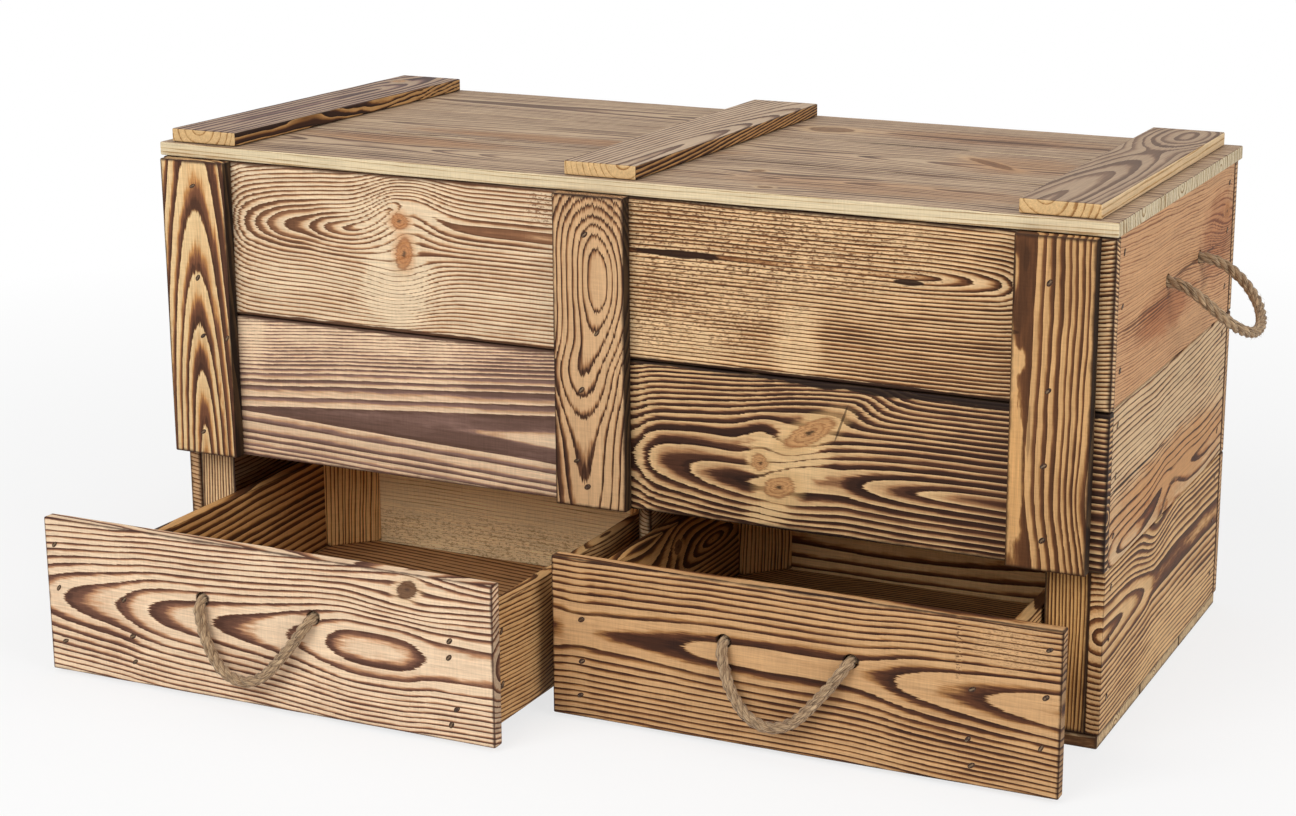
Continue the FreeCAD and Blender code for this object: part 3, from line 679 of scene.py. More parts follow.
def bored(mesh, name, centres, across):
    """The board with a round hole drilled through it at each centre."""
    drill = bmesh.new()
    turn = Vector(across).to_track_quat("Z", "Y").to_matrix().to_4x4()
    for centre in centres:
        bmesh.ops.create_cone(drill, cap_ends=True, segments=32, radius1=HOLE_RADIUS, radius2=HOLE_RADIUS,
                              depth=DRILL_LENGTH, matrix=Matrix.Translation(centre) @ turn)
    bit = bpy.data.meshes.new("drill")
    drill.to_mesh(bit)
    holders = [placed(name, mesh), placed("drill", bit)]
    cut = holders[0].modifiers.new("bore", "BOOLEAN")
    cut.object = holders[1]
    bpy.context.view_layer.update()
    made = bpy.data.meshes.new_from_object(holders[0].evaluated_get(bpy.context.evaluated_depsgraph_get()))
    for holder in holders:
        bpy.data.objects.remove(holder)
    return made


def plank(node, body, lay, finishes, bores=()):
    """A sawn board with eased, slightly uneven edges. finishes are (which faces, their grain). The faces are
    all (None), those nearer than a distance along the board, or those that look one way, such as +x."""
    low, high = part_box(node)
    along = "XYZ".index(lay[0])
    sawn = bmesh.new()
    bmesh.ops.create_cube(sawn, size=1.0)
    bmesh.ops.scale(sawn, vec=high - low, verts=sawn.verts)
    bmesh.ops.translate(sawn, vec=(low + high) / 2, verts=sawn.verts)
    bmesh.ops.bevel(sawn, geom=sawn.edges[:], offset=EASED, segments=2, profile=0.5, affect="EDGES",
                    material=-1)
    length = (high - low)[along]
    runs = [edge for edge in sawn.edges
            if abs((edge.verts[1].co - edge.verts[0].co)[along]) > 0.5 * length]
    bmesh.ops.subdivide_edges(sawn, edges=runs, cuts=max(3, int(length / 0.02)), use_grid_fill=True)
    middle, seed = (low + high) / 2, sum(map(ord, node))
    for vertex in sawn.verts:
        for side in {0, 1, 2} - {along}:
            sign = 1 if vertex.co[side] > middle[side] else -1
            uneven = noise.noise(Vector((vertex.co[along] * 22, seed + sign * 5 + side * 11, 0.5)))
            vertex.co[side] -= sign * EDGE_WANDER * (0.5 + 0.5 * uneven)
    mesh = bpy.data.meshes.new("plank_" + node)
    sawn.to_mesh(mesh)
    for index, (which, grain) in enumerate(finishes):
        mesh.materials.append(flamed(f"flamed_{node}_{index}", node, lay, **grain))
    if bores:
        mesh = bored(mesh, "plank_" + node, bores, LAYS[lay][2])

    def covers(which, face):
        if isinstance(which, str):
            return face.normal["xyz".index(which[1])] * (1 if which[0] == "+" else -1) > 0.75
        return which is None or face.center[along] < which

    for face in mesh.polygons:
        face.material_index = next(index for index, finish in enumerate(finishes)
                                   if covers(finish[0], face))
    piece = placed("plank_" + node, mesh)
    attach(piece, body)
    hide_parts(node)


def ordinary(node, lay, seed, **changes):
    """The grain of a board with nothing special about it: its heart wanders beside or behind it."""
    chance = random.Random(seed)
    turn = Matrix(LAYS[lay])
    ends = [turn @ (corner * 1000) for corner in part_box(node)]
    start, end = sorted((ends[0].x, ends[1].x))
    bottom, top = sorted((ends[0].y, ends[1].y))
    base = chance.uniform(bottom - 0.2 * (top - bottom), top + 0.2 * (top - bottom))
    stops = [start + (end - start) * share for share in (0, 0.2, 0.4, 0.6, 0.8, 1)]
    heart = [(stop, base + chance.uniform(-0.05, 0.05) * (top - bottom)) for stop in stops]
    deep = chance.uniform(4, 30)
    depth = [(stop, max(0.5, deep + chance.uniform(-9, 9))) for stop in stops]
    return {"heart": heart, "depth": depth, "pitch": chance.uniform(3.8, 5.6), "seed": float(seed),
            **changes}


def plain_plank(node, body, slot, lay, seed, bores=(), **changes):
    plank(node, body, lay, [(None, ordinary(node, lay, seed, **changes))], bores)


def coated(node, material):
    """A material for a piece that keeps the shape it has in the CAD model."""
    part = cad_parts[node]
    part.data.materials.clear()
    part.data.materials.append(material)


def flame_solid(node, slot, lay, seed, **changes):
    coated(node, flamed("flamed_" + node, node, lay, **ordinary(node, lay, seed, **changes)))


# ---------------------------------------------------------------- base
# Three boards lie side by side, front to rear, as the bottom of the chest. They are nailed up into the walls
# and the divider.
for number, name in enumerate(("front", "middle", "rear")):
    plain_plank("base_board_" + name, "carcass", "carcass_wood", "XY", 40 + number, scorch=0.25,
                tones=("#d9bd92", "#c0986a", "#8a603c", "#463021"))

# ---------------------------------------------------------------- sides and back
# Three boards on each side and at the back, nailed to the corner posts. Two holes near the top of each side
# take the rope.
SIDE_TONES = ("#cda67c", "#ad8052", "#7a4e2f", "#3d2516")
SIDE_GRAINS = {
    "top": dict(
        heart=[(-220, 520), (0, 512), (206, 498)], depth=[(-220, 30), (0, 26), (206, 20)], pitch=3.0,
        seed=51.0, tones=("#c89a70", "#b5855c", "#8d5e40", "#4a2b18"), scorch=0.26, wander=4.0, uneven=1.0,
        line=0.15, fingers=12.0, edge=1.2,
        knots=[((182, 433), (9, 7), 0.0, 0.8, (60, 26, 40))],
        places=[((-130, 384), (110, 12), 0.45), ((60, 403), (110, 5), 0.4), ((150, 400), (90, 60), 0.25)],
        char=[((-90, 391), (120, 1.8), 0.45), ((-120, 384), (100, 1.5), 0.45),
              ((60, 404), (120, 2.0), 0.5)],
        stains=[((150, 415), (80, 50), 0.6), ((-50, 376), (120, 26), 0.7)], stain="#cfa58c"),
    "middle": dict(
        heart=[(-220, 184), (-100, 184), (0, 188), (110, 192), (206, 200)],
        depth=[(-220, 18), (-188, 9), (-110, 3), (-30, 9), (10, 15), (80, 9), (206, 3)],
        years=counted(0, 9, 17, 25, 34, 44) + [(54, 7), (140, 22)], seed=52.0,
        tones=("#d3b48d", "#b3875d", "#724a30", "#301c11"), scorch=0.32, wander=3.0, line=1.0, edge=1.2,
        knots=[((-14, 172), (7, 8), 0.4, 0.75, (60, 40, 90))],
        places=[((-70, 188), (50, 14), 0.5), ((0, 215), (260, 30), -0.15)],
        char=[((-130, 243), (105, 1.6), 1.0)], stains=[((0, 208), (300, 42), 0.8)], stain="#e6c09a"),
    "bottom": dict(
        heart=[(-220, 110), (-60, 111), (206, 109)],
        depth=[(-220, 2), (-152, 9), (-80, 18), (-47, 25), (0, 25.5), (206, 25)],
        years=counted(0, 9, 18, 28, 34, 40, 46, 52, 57, 62) + [(100, 17)],
        seed=53.0, tones=("#dab382", "#b68857", "#6f4428", "#2e1b10"), scorch=0.66, wander=2.0, edge=1.5,
        knots=[((-34, 176), (9, 7), 0.6, 0.8, (52, 38, 60))],
        places=[((0, 40), (240, 36), -0.35), ((-130, 45), (90, 20), 0.2)]),
}
for name in ("bottom", "middle", "top"):
    left_holes, right_holes = ([(sign * (SIDE_FACE - BOARD / 2), y, SIDE_HOLE_HEIGHT) for y in SIDE_HOLES
                                if name == "top"] for sign in (-1, 1))
    plank("right_side_board_" + name, "carcass", "YZ", [(None, SIDE_GRAINS[name])],
          right_holes)
    plain_plank("left_side_board_" + name, "carcass", "side_wood", "YZ", 60 + len(name), left_holes,
                tones=SIDE_TONES, scorch=0.35)
    plain_plank("back_board_" + name, "carcass", "carcass_wood", "XZ", 70 + len(name), tones=SIDE_TONES,
                scorch=0.4)

# ---------------------------------------------------------------- front
# Two wide boards close the front over the drawers, nailed to the corner posts. Their seam lies open a
# little and is charred.
UPPER_LEFT = ("#e8cfac", "#ca9e74", "#8f6345", "#553725")
LOWER_LEFT = ("#f1d2ae", "#c79a75", "#917165", "#583f33")
UPPER_RIGHT = ("#e4c193", "#bb8b5b", "#704629", "#2c180c")
LOWER_RIGHT = ("#deb987", "#a87a52", "#573625", "#20120c")
plank("front_board_upper", "carcass", "XZ", [
    (-0.009, dict(
        heart=[(-498, 418), (-400, 420), (-330, 422), (-280, 423), (-222, 431), (-172, 432), (-9, 432)],
        depth=[(-498, 90), (-418, 38), (-404, 29.4), (-392, 25.2), (-376, 21), (-357, 16.8), (-325, 12.6),
               (-309, 8.4), (-288, 4.2), (-262, 1), (-235, 3), (-215, 9), (-172, 8.2), (-120, 6.8),
               (-9, 6)],
        pitch=4.15, seed=3.0, tones=UPPER_LEFT, scorch=0.5, wander=1.2, fingers=6.0, uneven=0.4,
        knots=[((-222, 435), (10, 8.5), 0.0, 0.3, (30, 24, 36)),
               ((-218, 405), (10, 19), 0.12, 0.75, (40, 52, 40))],
        places=[((-228, 372), (44, 50), -0.6), ((-345, 422), (80, 26), 0.35), ((-105, 432), (90, 14), 0.35),
                ((-330, 395), (130, 20), 0.15)],
        char=[((-260, 323), (300, 4.5), 0.9)], rough=[((-62, 462), (22, 22), 1.0)],
        stains=[((-222, 435), (16, 13), 0.5), ((-218, 405), (15, 26), 0.5)], stain="#edb68c",
        knot_show=0.78)),
    (None, dict(
        heart=[(-9, 430), (200, 428), (430, 428), (470, 560), (498, 562)],
        depth=[(-9, 2), (30, 3), (300, 2), (350, 5), (380, 9), (397, 12), (430, 25), (498, 50)], pitch=3.75,
        seed=4.0, tones=UPPER_RIGHT, scorch=0.62, line=1.0, wander=1.2, uneven=0.4,
        places=[((200, 352), (30, 44), -0.42), ((330, 350), (140, 50), 0.25), ((60, 345), (80, 30), -0.2)],
        char=[((78, 429), (58, 4.4), 1.0), ((308, 423), (16, 3), 0.95), ((240, 323), (300, 4.5), 0.9)],
        rough=[((120, 446), (260, 56), 1.0), ((60, 385), (170, 60), 0.85)]))])
plank("front_board_lower", "carcass", "XZ", [
    (-0.009, dict(
        heart=[(-498, 221), (-400, 224.5), (-250, 228.5), (-55, 233), (-9, 234)],
        depth=[(-498, 2), (-9, 2)], taper=0.06,
        years=[(0, 0.04), (9, 0.2), (13, 0.6), (24, 0.8), (28, 1), (35.5, 1.8), (48.5, 2.8), (54.5, 3.6),
               (62, 4.8), (71, 6.6), (82.5, 9.6), (92.5, 12.7), (120, 21)],
        seed=5.0, tones=LOWER_LEFT, scorch=0.66, wander=1.0, fingers=9.0, uneven=0.25,
        places=[((-215, 222), (200, 12), 0.35), ((-30, 229), (90, 9), -0.5), ((-260, 312), (210, 16), -0.3),
                ((-90, 280), (80, 60), 0.3), ((-405, 300), (26, 50), -0.35)],
        char=[((-250, 322.5), (300, 3.5), 1.0)])),
    (None, dict(
        heart=[(-9, 231), (60, 231), (160, 229), (240, 228), (498, 226)],
        depth=[(-9, 46), (35, 40), (48, 34), (85, 28), (122, 23), (155, 20), (205, 17), (240, 17),
               (269, 13), (325, 6.8), (400, 4), (498, 3)],
        years=counted(0, 6.8, 13, 20, 27, 34, 40.5, 47, 52.5, 58, 63, 68, 73, 78, 83) + [(120, 24)],
        seed=6.0, tones=LOWER_RIGHT, scorch=0.8, turned=1.0, wander=1.2, fingers=8.0, uneven=0.2,
        knots=[((213, 272), (17, 18), 1.15, 0.8, (95, 46, 34)),
               ((162.5, 252.5), (8, 9), 0.0, 0.5, (20, 20, 20)),
               ((182, 221), (17, 16), 0.0, 0.6, (30, 28, 50))],
        places=[((190, 245), (46, 34), -0.75), ((170, 186), (26, 14), -0.55), ((40, 250), (16, 80), -0.25),
                ((420, 240), (110, 70), 0.3)],
        char=[((340, 325), (260, 12), 1.0), ((60, 324), (160, 5), 0.9),
              ((244, 284), (2.0, 28), 0.47, 0.35)]))])

# ---------------------------------------------------------------- front battens
# Three upright battens, nailed on from outside, hold the two boards of the front together. Their
# sides are near black: partly char from the torch, partly painted shade.
# Partly char and partly painted shade: both sides of each batten take these near-black tones.
CHARRED_AND_SHADED_SIDES = dict(tones=("#4a3826", "#3a2a1c", "#291c14", "#19110c"), scorch=0.7, edge=2.0, stains=())
BATTENS = {
    "left": dict(
        heart=[(174, -454), (330, -454), (480, -452)],
        depth=[(174, 3.5), (206, 7), (262, 14), (312, 21), (368, 28), (433, 35), (480, 40)], pitch=7.0,
        seed=7.0, tones=("#e6c694", "#bf8850", "#7c4f36", "#3a241a"), scorch=0.6, turned=1.0, wander=1.2,
        fingers=8.0, line=0.9, uneven=0.2, edge=4.0,
        places=[((330, -424), (190, 9), 0.7), ((250, -454), (90, 16), 0.15)]),
    "centre": dict(
        heart=[(174, -15), (300, -15), (346, -3), (399, 1), (440, -1), (480, -4)],
        depth=[(174, 40), (194, 38.5), (261, 33), (281, 27.5), (302, 22), (346, 16.5), (367, 11), (383, 5),
               (399, 2), (415, 5), (431, 11), (444, 16.5), (454, 22), (463, 27.5), (472, 33), (480, 38.5)],
        years=[(0, 0.4), (9, 0.62)] + counted(11, 16.5, 22, 27.5, 33, 38.5, first=1) + [(80, 14)],
        uneven=0.2, seed=8.0, tones=("#cfa77c", "#a5774f", "#6d4831", "#2a1811"), scorch=0.36, wander=1.2,
        fingers=8.0, line=1.0, edge=4.0,
        places=[((300, -48), (60, 12), 0.6), ((470, -10), (24, 40), 0.2), ((210, 12), (60, 20), -0.15),
                ((210, -42), (50, 14), 0.5)]),
    "right": dict(
        heart=[(174, 409), (250, 402), (330, 406), (480, 405)], depth=[(174, 3), (480, 3)],
        years=([(0, 0.3), (14, 0.55), (21, 0.85)] + counted(24, 32, 42, 50, 57, 63, 69, first=1)
               + [(92, 11)]),
        seed=9.0, tones=("#cfa26e", "#9b6f43", "#6b4328", "#382213"), scorch=0.6, wander=4.2, uneven=0.9,
        line=0.6,
        places=[((262, 414), (80, 15), -0.8), ((440, 415), (60, 12), 0.35), ((366, 417), (14, 8), -0.9),
                ((352, 411), (44, 6), -0.5), ((398, 407), (26, 4), -0.5), ((446, 412), (22, 4), -0.5)],
        char=[((440, 409), (46, 4), 0.7), ((391, 411), (3, 8), 0.5), ((456, 421), (20, 4), 0.42),
              ((300, 428), (40, 3), 0.42)],
        stains=[((262, 414), (80, 15), 0.3)], stain="#ffe9b8", fingers=9.0, edge=4.0)}
for name, grain in BATTENS.items():
    plank("front_batten_" + name, "carcass", "ZX",
          [("+x", {**grain, **CHARRED_AND_SHADED_SIDES}), ("-x", {**grain, **CHARRED_AND_SHADED_SIDES}), (None, grain)])

# ---------------------------------------------------------------- posts, chest floor and divider
# A triangular strip in each corner takes the nails of the walls. The three boards of the chest's floor rest
# on the divider between the drawers.
POST_TONES = {"left": ("#e6c496", "#c2976a", "#7a5232", "#36221a"),
              "right": ("#cda066", "#a97a45", "#6b4425", "#2c190d")}
for name in ("left_front", "right_front", "left_rear", "right_rear"):
    flame_solid(name + "_post", "carcass_wood", "ZX", 80 + len(name), scorch=0.55, pitch=3.4,
                depth=[(0, 60), (200, 60)], heart=[(0, -900), (200, -897)],
                tones=POST_TONES[name.split("_")[0]])
for number, name in enumerate(("front", "middle", "rear")):
    flame_solid("chest_floor_board_" + name, "carcass_wood", "XY", 90 + number, scorch=0.2)
plain_plank("drawer_divider", "carcass", "carcass_wood", "YZ", 95)

# ---------------------------------------------------------------- lid
# Three boards, greyed by brushing, with three battens nailed across them. Their cut ends and the front edge
# were sawn after the flaming and are still pale.
BRUSHED = dict(pitch=7.0, tones=("#bea487", "#ab8f74", "#7e6452", "#4b372b"), scorch=0.5, line=0.4,
               knot_dark=0.75, edge=1.5, wander=4.0, uneven=1.1, stain="#e2c2a4", knot_show=0.75)
FRESH = dict(tones=("#d9c6a2", "#c6ab82", "#a3845c", "#6f5438"), scorch=0.12, line=0.3, edge=0.6, places=(),
             char=(), knots=(), stains=(), relief=0.2)
SAWN = {**FRESH, "heart": [(-500, -236), (500, -236)], "depth": [(-500, 30), (0, 36), (500, 31)],
        "pitch": 5.0}
GOLDEN = {**FRESH, "tones": ("#d0ac7a", "#bd9561", "#93693e", "#5f4226"), "line": 0.2}
PALE = {**FRESH, "tones": ("#dfc298", "#cfab7c", "#b38a57", "#7b5a35"), "heart": [(-236, 498), (220, 498)],
        "depth": [(-236, 26), (220, 32)], "years": None, "pitch": 6.0}
WEATHERED = {**FRESH, "tones": ("#d3c3a4", "#bfa67e", "#94774f", "#65492f"), "relief": 0.9, "scorch": 0.3}
LID_GRAINS = {
    "front": dict(
        heart=[(-500, -150), (0, -165), (300, -150), (500, -160)],
        depth=[(-500, 8), (-300, 24), (-80, 6), (60, 3), (180, 16), (240, 12), (330, 5), (500, 2)],
        knots=[((115, -131), (7, 6), 0.0, 0.7, (40, 24, 90)),
               ((155, -209), (8, 6), 0.0, 0.6, (40, 20, 50))],
        places=[((-330, -210), (160, 30), 0.2), ((170, -140), (90, 26), 0.3)],
        stains=[((-280, -120), (150, 30), 0.7), ((260, -170), (200, 40), 0.5)]),
    "middle": dict(
        heart=[(-500, -30), (0, -10), (500, -20)],
        depth=[(-500, 20), (-150, 8), (100, 24), (320, 8), (500, 3)],
        knots=[((304, 2), (13, 27), -1.1, 0.4, (60, 30, 60))],
        places=[((-130, 10), (80, 18), 0.4), ((120, -5), (90, 20), 0.35), ((0, -75), (420, 16), 0.3)],
        stains=[((-130, -50), (220, 24), 0.7), ((330, 0), (80, 60), 0.6)],
        char=[((-380, -88), (24, 3), 0.6)]),
    "rear": dict(
        heart=[(-500, 150), (0, 140), (500, 128)],
        depth=[(-500, 30), (-100, 20), (80, 10), (330, 3), (500, 12)],
        knots=[((82, 132), (26, 15), 0.0, 0.35, (60, 30, 60))],
        places=[((300, 130), (110, 18), 0.45), ((-150, 180), (200, 40), -0.1)],
        stains=[((250, 140), (160, 40), 0.6)], char=[((200, 70), (90, 2.2), 0.8)]),
}
for name, grain in LID_GRAINS.items():
    grain = {**grain, **BRUSHED, "seed": 100.0 + len(name)}
    plank("lid_board_" + name, "lid", "XY",
          [("-y", {**grain, **SAWN}), ("+x", {**grain, **WEATHERED}), ("-x", {**grain, **WEATHERED}),
           (None, grain)])
LID_BATTENS = {
    "left": dict(
        heart=[(-236, -455), (0, -452), (220, -450)], depth=[(-236, 3), (100, 8), (163, 20), (220, 26)],
        years=counted(0, 9, 18, 27, 34, 40) + [(70, 11)], seed=110.0,
        tones=("#b39a81", "#8f7162", "#5f4742", "#352520"), scorch=0.62,
        knots=[((163, -463), (9, 8), 0.0, 0.6, (40, 26, 40))]),
    "centre": dict(
        heart=[(-236, 20), (0, 22), (220, 30)], depth=[(-236, 3), (-100, 8), (5, 18), (90, 27), (220, 40)],
        years=counted(0, 9, 18, 24, 30, 36, 42) + [(90, 14)], seed=111.0),
    "right": dict(
        heart=[(-236, 432), (-50, 442), (165, 452), (220, 452)],
        depth=[(-236, 5), (-170, 10), (-50, 22), (0, 28), (60, 34), (110, 22), (165, 1), (220, 20)],
        years=counted(0, 10, 22, 29, 36, 42) + [(90, 13)], seed=112.0,
        tones=("#ab9279", "#9a7f68", "#785f4d", "#513e34"), scorch=0.5, line=0.35, uneven=0.6, wander=3.0),
}
STRIPED = dict(tones=("#c59862", "#8f6338", "#472a1a", "#20130d"), scorch=0.72, line=1.0, edge=1.5,
               pitch=3.0, years=None)
LID_SIDES = {"left": {**STRIPED, "scorch": 0.5, "pitch": 2.4, "fingers": 16.0, "wander": 3.5,
                      "places": [((-150, -415), (160, 90), 0.6)]},
             "centre": STRIPED, "right": PALE}
DULLED = dict(tones=("#c0a78d", "#a1856b", "#6b5040", "#372720"), scorch=0.42, edge=1.8, line=0.45,
              wander=2.0, uneven=0.3, knot_show=0.6)
for name, grain in LID_BATTENS.items():
    grain = {**DULLED, **grain}
    plank("lid_batten_" + name, "lid", "YX",
          [("-y", {**grain, **GOLDEN}), ("+y", {**grain, **GOLDEN}), ("+x", {**grain, **LID_SIDES[name]}),
           ("-x", {**grain, **STRIPED}), (None, grain)])

# ---------------------------------------------------------------- hinges
# Two plain butt hinges of worn steel join the lid to the top of the back. Rust has bitten into their leaves
# and pins.
steel = bpy.data.materials.new("worn_steel")
tree = empty_tree(steel)
rust = add(tree, "TexNoise", {"Vector": add(tree, "TexCoord", output="Object"), "Scale": 260.0,
                              "Detail": 4.0})
rusty = rising(rust, 0.48, 0.66)
pitted = add(tree, "Bump", {"Height": rust, "Strength": 0.4, "Distance": 0.0003})
skin = add(tree, "BsdfPrincipled", {"Base Color": mixed(rusty, tint("#806a52"), tint("#2e1a10")),
                                    "Metallic": clamped(0.85 - rusty), "Roughness": rusty * 0.4 + 0.32,
                                    "Normal": pitted})
new_node(tree, "OutputMaterial", {"Surface": skin})
for name in ("hinge_fixed_leaves", "hinge_lid_leaves", "hinge_pins"):
    coated(name, steel)

# ---------------------------------------------------------------- nails
# Thin steel nails driven in askew: each narrow head lies slanting on a flat dark disc, which stands for the
# wood it squashed and blackened, and is painted shade of the dent round the head.
HEAD, HEAD_EASED, HEAD_SUNK = (0.0054, 0.0015, 0.0009), 0.0003, 0.0004
POINT_RADIUS, SHANK_RADIUS, SHANK_SUNK, SHANK_SHORTER = 0.0003, 0.0009, 0.0006, 0.001
DENT_RADII, DENT_DEPTH, DENT_SUNK = (0.0037, 0.0032), 0.0006, 0.0005

# Squashed, charred wood and painted shade of the dent round a nail head, for the flat dark discs.
dent_shade_and_char = bpy.data.materials.new("crushed_wood_dent_shade")
tree = empty_tree(dent_shade_and_char)
burnt = add(tree, "TexNoise", {"Vector": add(tree, "TexCoord", output="Object"), "Scale": 900.0,
                               "Detail": 2.0})
charred = mixed(rising(burnt, 0.4, 0.65), tint("#1f120a"), tint("#5b3a22"))
skin = add(tree, "BsdfPrincipled", {"Base Color": charred, "Roughness": 0.9})
new_node(tree, "OutputMaterial", {"Surface": skin})


def nail_ends(node):
    """The head's centre, the way it looks and the length of every nail in a node."""
    whole = bmesh.new()
    whole.from_mesh(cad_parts[node].data)
    bmesh.ops.remove_doubles(whole, verts=whole.verts, dist=1e-6)
    left, found = set(whole.verts), []
    while left:
        nail, edge = [], [left.pop()]
        while edge:
            vertex = edge.pop()
            nail.append(vertex.co)
            near = {link.other_vert(vertex) for link in vertex.link_edges} & left
            left -= near
            edge += near
        low, high = (Vector(pick(co[axis] for co in nail) for axis in range(3)) for pick in (min, max))
        long = max(range(3), key=lambda axis: (high - low)[axis])
        middle = (low + high) / 2
        wide = max(nail, key=lambda co: (Vector(co) - middle).length)
        outward = Vector([0.0] * 3)
        outward[long] = 1.0 if wide[long] > middle[long] else -1.0
        found.append((middle + outward * (high - low)[long] / 2, outward, (high - low)[long]))
    return sorted(found, key=lambda nail: tuple(nail[0]))


def put(verts, place, turn):
    """Turns a new part of a nail and puts it in its place."""
    bmesh.ops.transform(driven, matrix=Matrix.Translation(place) @ turn, verts=verts)


for node, body in (("carcass_nails", "carcass"), ("lid_nails", "lid"), ("left_drawer_nails", "left_drawer"),
                   ("right_drawer_nails", "right_drawer")):
    chance = random.Random(len(node))
    driven = bmesh.new()
    for end, outward, length in nail_ends(node):
        turn = (outward.to_track_quat("Z", "Y").to_matrix().to_4x4()
                @ Matrix.Rotation(chance.uniform(0.4, 1.1), 4, "Z"))
        head = bmesh.ops.create_cube(driven, size=1.0)["verts"]
        bmesh.ops.scale(driven, vec=HEAD, verts=head)
        sides = {edge for vertex in head for edge in vertex.link_edges}
        bevelled = bmesh.ops.bevel(driven, geom=list(sides), offset=HEAD_EASED, segments=2, profile=0.5,
                                   affect="EDGES", material=-1)
        head = list({vertex for face in bevelled["faces"] for vertex in face.verts})
        lean = (Matrix.Rotation(chance.uniform(-0.12, 0.12), 4, "Y")
                @ Matrix.Rotation(chance.uniform(-0.3, 0.3), 4, "X"))
        put(head, end - outward * HEAD_SUNK, turn @ lean)
        shank = bmesh.ops.create_cone(driven, cap_ends=True, segments=8, radius1=POINT_RADIUS,
                                      radius2=SHANK_RADIUS, depth=length - SHANK_SHORTER)["verts"]
        put(shank, end - outward * (length / 2 + SHANK_SUNK), turn)
        # A flat dark disc under the head: squashed wood and painted shade of its dent.
        dent = bmesh.ops.create_cone(driven, cap_ends=True, segments=14, radius1=DENT_RADII[0],
                                     radius2=DENT_RADII[1], depth=DENT_DEPTH)["verts"]
        narrowed = Matrix.Diagonal((1.1, chance.uniform(0.5, 0.75), 1.0, 1.0))
        put(dent, end - outward * DENT_SUNK, turn @ narrowed)
        for face in {face for vertex in dent for face in vertex.link_faces}:
            face.material_index = 1
    bmesh.ops.recalc_face_normals(driven, faces=driven.faces)
    mesh = bpy.data.meshes.new("driven_" + node)
    driven.to_mesh(mesh)
    mesh.materials.append(steel)
    mesh.materials.append(dent_shade_and_char)
    piece = placed("driven_" + node, mesh)
    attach(piece, body)
    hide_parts(node)

# ---------------------------------------------------------------- drawers
# Each drawer is a nailed box with triangular blocks in its corners, behind a wide front with two holes for
# its rope.
DRAWER_FRONTS = {
    "left": dict(
        heart=[(-498, 81), (-300, 81), (-125, 80), (-3, 80)],
        depth=[(-498, 54), (-478, 52), (-417, 47), (-380, 42), (-300, 36), (-225, 28.5), (-180, 17.5),
               (-150, 6), (-125, 1), (-100, 7), (-75, 17.5), (-40, 21), (-3, 22)],
        years=[(0, 0.1)] + counted(17.5, 28.5, 36, 42, 47, 52, 57, 62, 67, first=1) + [(90, 14)],
        uneven=0.25, seed=11.0, tones=("#e9cdac", "#bd8c66", "#76503e", "#402820"), scorch=0.45,
        knot_dark=0.85, wander=1.6, fingers=8.0, edge=3.0,
        knots=[((-91, 144), (11, 9.5), 0.3, 0.7, (60, 26, 60))],
        places=[((-440, 60), (90, 40), 0.15), ((-130, 62), (60, 9), 0.3)],
        # At the rope holes: scorch round the rims and painted shade on the walls inside the holes.
        char=[((-1, 70), (5, 120), 0.42), ((-317, 102), (9.5, 9.5), 0.7), ((-193, 102), (9.5, 9.5), 0.7)]),
    "right": dict(
        heart=[(0, 90), (250, 91), (498, 86)],
        depth=[(0, 36.4), (30, 38.2), (60, 37.4), (100, 36.3), (130, 35), (145, 34), (200, 32.8),
               (290, 32.6), (325, 30.5), (350, 26.7), (435, 17), (498, 8)],
        years=counted(0, 17, 26.7, 34, 40.5, 46, 51, 56, 61, 66) + [(90, 14)], uneven=0.2, turned=1.0,
        seed=12.0, tones=("#caa072", "#a37547", "#5b3621", "#27140d"), scorch=0.5, wander=1.6, fingers=9.0,
        edge=3.0,
        places=[((97, 90), (50, 8), 0.3), ((400, 40), (80, 40), 0.1), ((452, 138), (46, 26), -0.3),
                ((30, 90), (16, 90), -0.25)],
        rough=[((404, 128), (4, 34), 1.0), ((452, 138), (46, 26), 0.45)],
        # At the rope holes: scorch round the rims and painted shade on the walls inside the holes.
        char=[((499, 80), (5, 120), 0.42), ((179, 102), (9.5, 9.5), 0.7), ((303, 102), (9.5, 9.5), 0.7)]),
}
SMOKED = ("#d3a36a", "#a87641", "#643d22", "#2c190d")
# Painted light: these very pale tones, for the left drawer's back, are brightened to stand for light in it.
PAINTED_LIGHT_PALE = ("#fbe0b0", "#efcd9a", "#bf9561", "#6a4a2c")
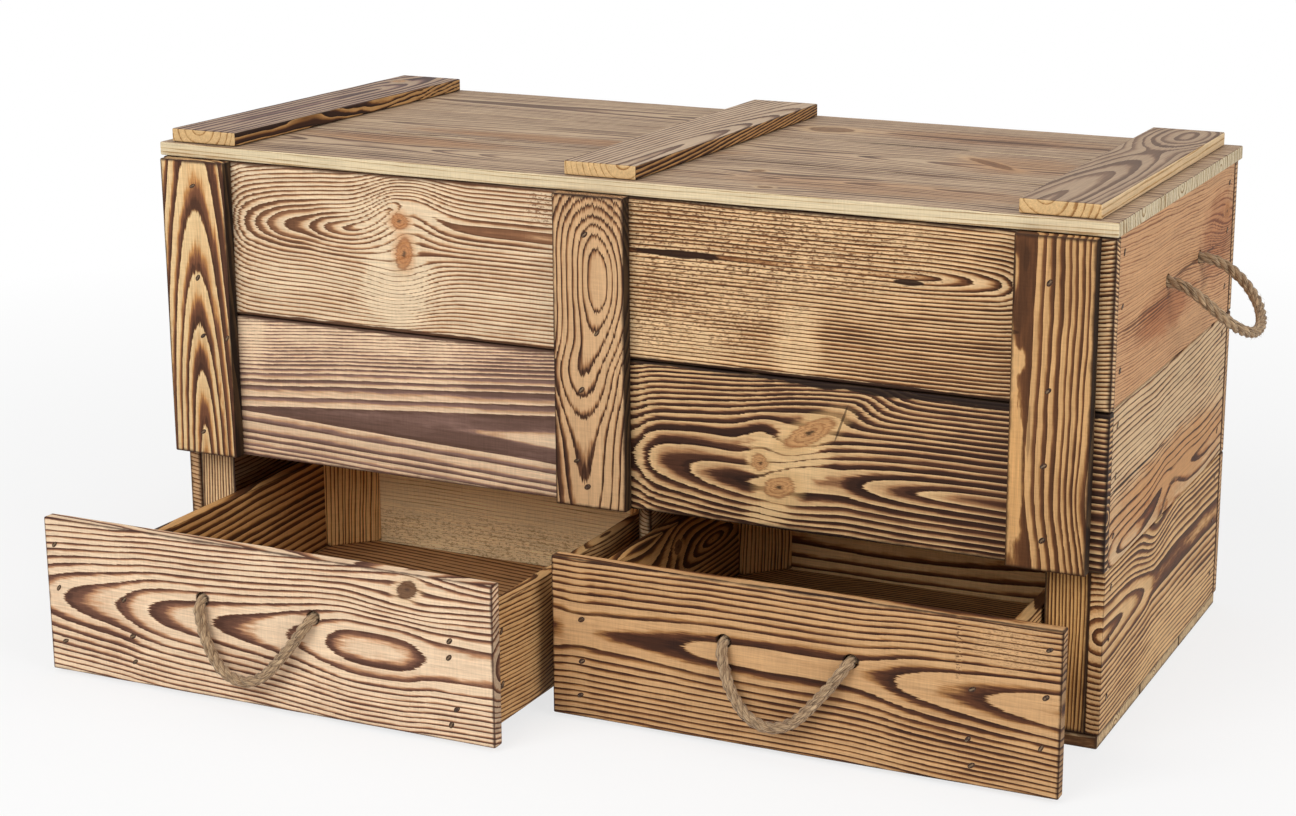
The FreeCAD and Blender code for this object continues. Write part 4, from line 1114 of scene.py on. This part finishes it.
BOXES = {
    "left": {
        "outer_wall": dict(heart=[(-440, 190), (-180, 200)], depth=[(-440, 20), (-180, 24)], pitch=8.0,
                           scorch=0.7, places=[((-390, 90), (60, 60), 0.4)], tones=SMOKED),
        "back": dict(heart=[(-470, 230), (-20, 226)], depth=[(-470, 10), (-20, 10)], pitch=4.0, scorch=0.05,
                     line=0.3, rough=[((-240, 45), (260, 34), 0.8)], tones=PAINTED_LIGHT_PALE),
        "bottom_board_rear": dict(heart=[(-470, -150), (-20, -190)], pitch=8.5, scorch=0.42,
                                  depth=[(-470, 2), (-300, 10), (-20, 42)],
                                  tones=("#cb9c6c", "#a97a4d", "#6a452b", "#362012")),
    },
    "right": {
        # Painted light: the right drawer's back is lightened, in its tones and two paler places, against its
        # shade.
        "back": dict(heart=[(10, 70), (480, 74)], depth=[(10, 24), (200, 20), (480, 30)], pitch=9.0,
                     scorch=0.5, places=[((330, 92), (120, 22), -0.9), ((160, 120), (130, 14), -0.6)],
                     tones=("#f0c890", "#c49158", "#77492a", "#321c0f")),
        "inner_wall": dict(heart=[(-340, 100), (-80, 90)], depth=[(-340, 10), (-200, 34), (-80, 8)],
                           pitch=6.0, scorch=0.7, knots=[((-130, 104), (9, 8), 0.0, 0.7, (50, 30, 50))],
                           knot_dark=0.7, tones=SMOKED),
    },
}
BOX = dict(scorch=0.5, edge=2.0, tones=("#c9a06d", "#a47546", "#664126", "#331d10"))
for side, (first, face) in DRAWERS.items():
    drawer = side + "_drawer"
    plank(drawer + "_front", drawer, "XZ", [(None, DRAWER_FRONTS[side])],
          [(x / 1000 + first, face + BOARD / 2, DRAWER_HOLE_HEIGHT) for x in (0, DRAWER_LOOP[-1][0])])
    for number, (part, lay) in enumerate((("inner_wall", "YZ"), ("outer_wall", "YZ"), ("back", "XZ"),
                                          ("bottom_board_front", "XY"), ("bottom_board_rear", "XY"))):
        plain_plank(f"{drawer}_{part}", drawer, "drawer_box_wood", lay, 120 + number + len(side),
                    **{**BOX, **BOXES[side].get(part, {})})
    # Painted light: the corner blocks' tones are brightened to stand for light reaching into the drawers.
    flame_solid(drawer + "_corner_blocks", "drawer_box_wood", "ZX", 140 + len(side), pitch=4.0,
                depth=[(0, 60), (200, 60)], scorch=0.45, wander=3.6, uneven=1.2,
                heart=[(0, -700), (200, -690)], tones=("#f0c485", "#cf9552", "#7f4c26", "#2f1a0e"))
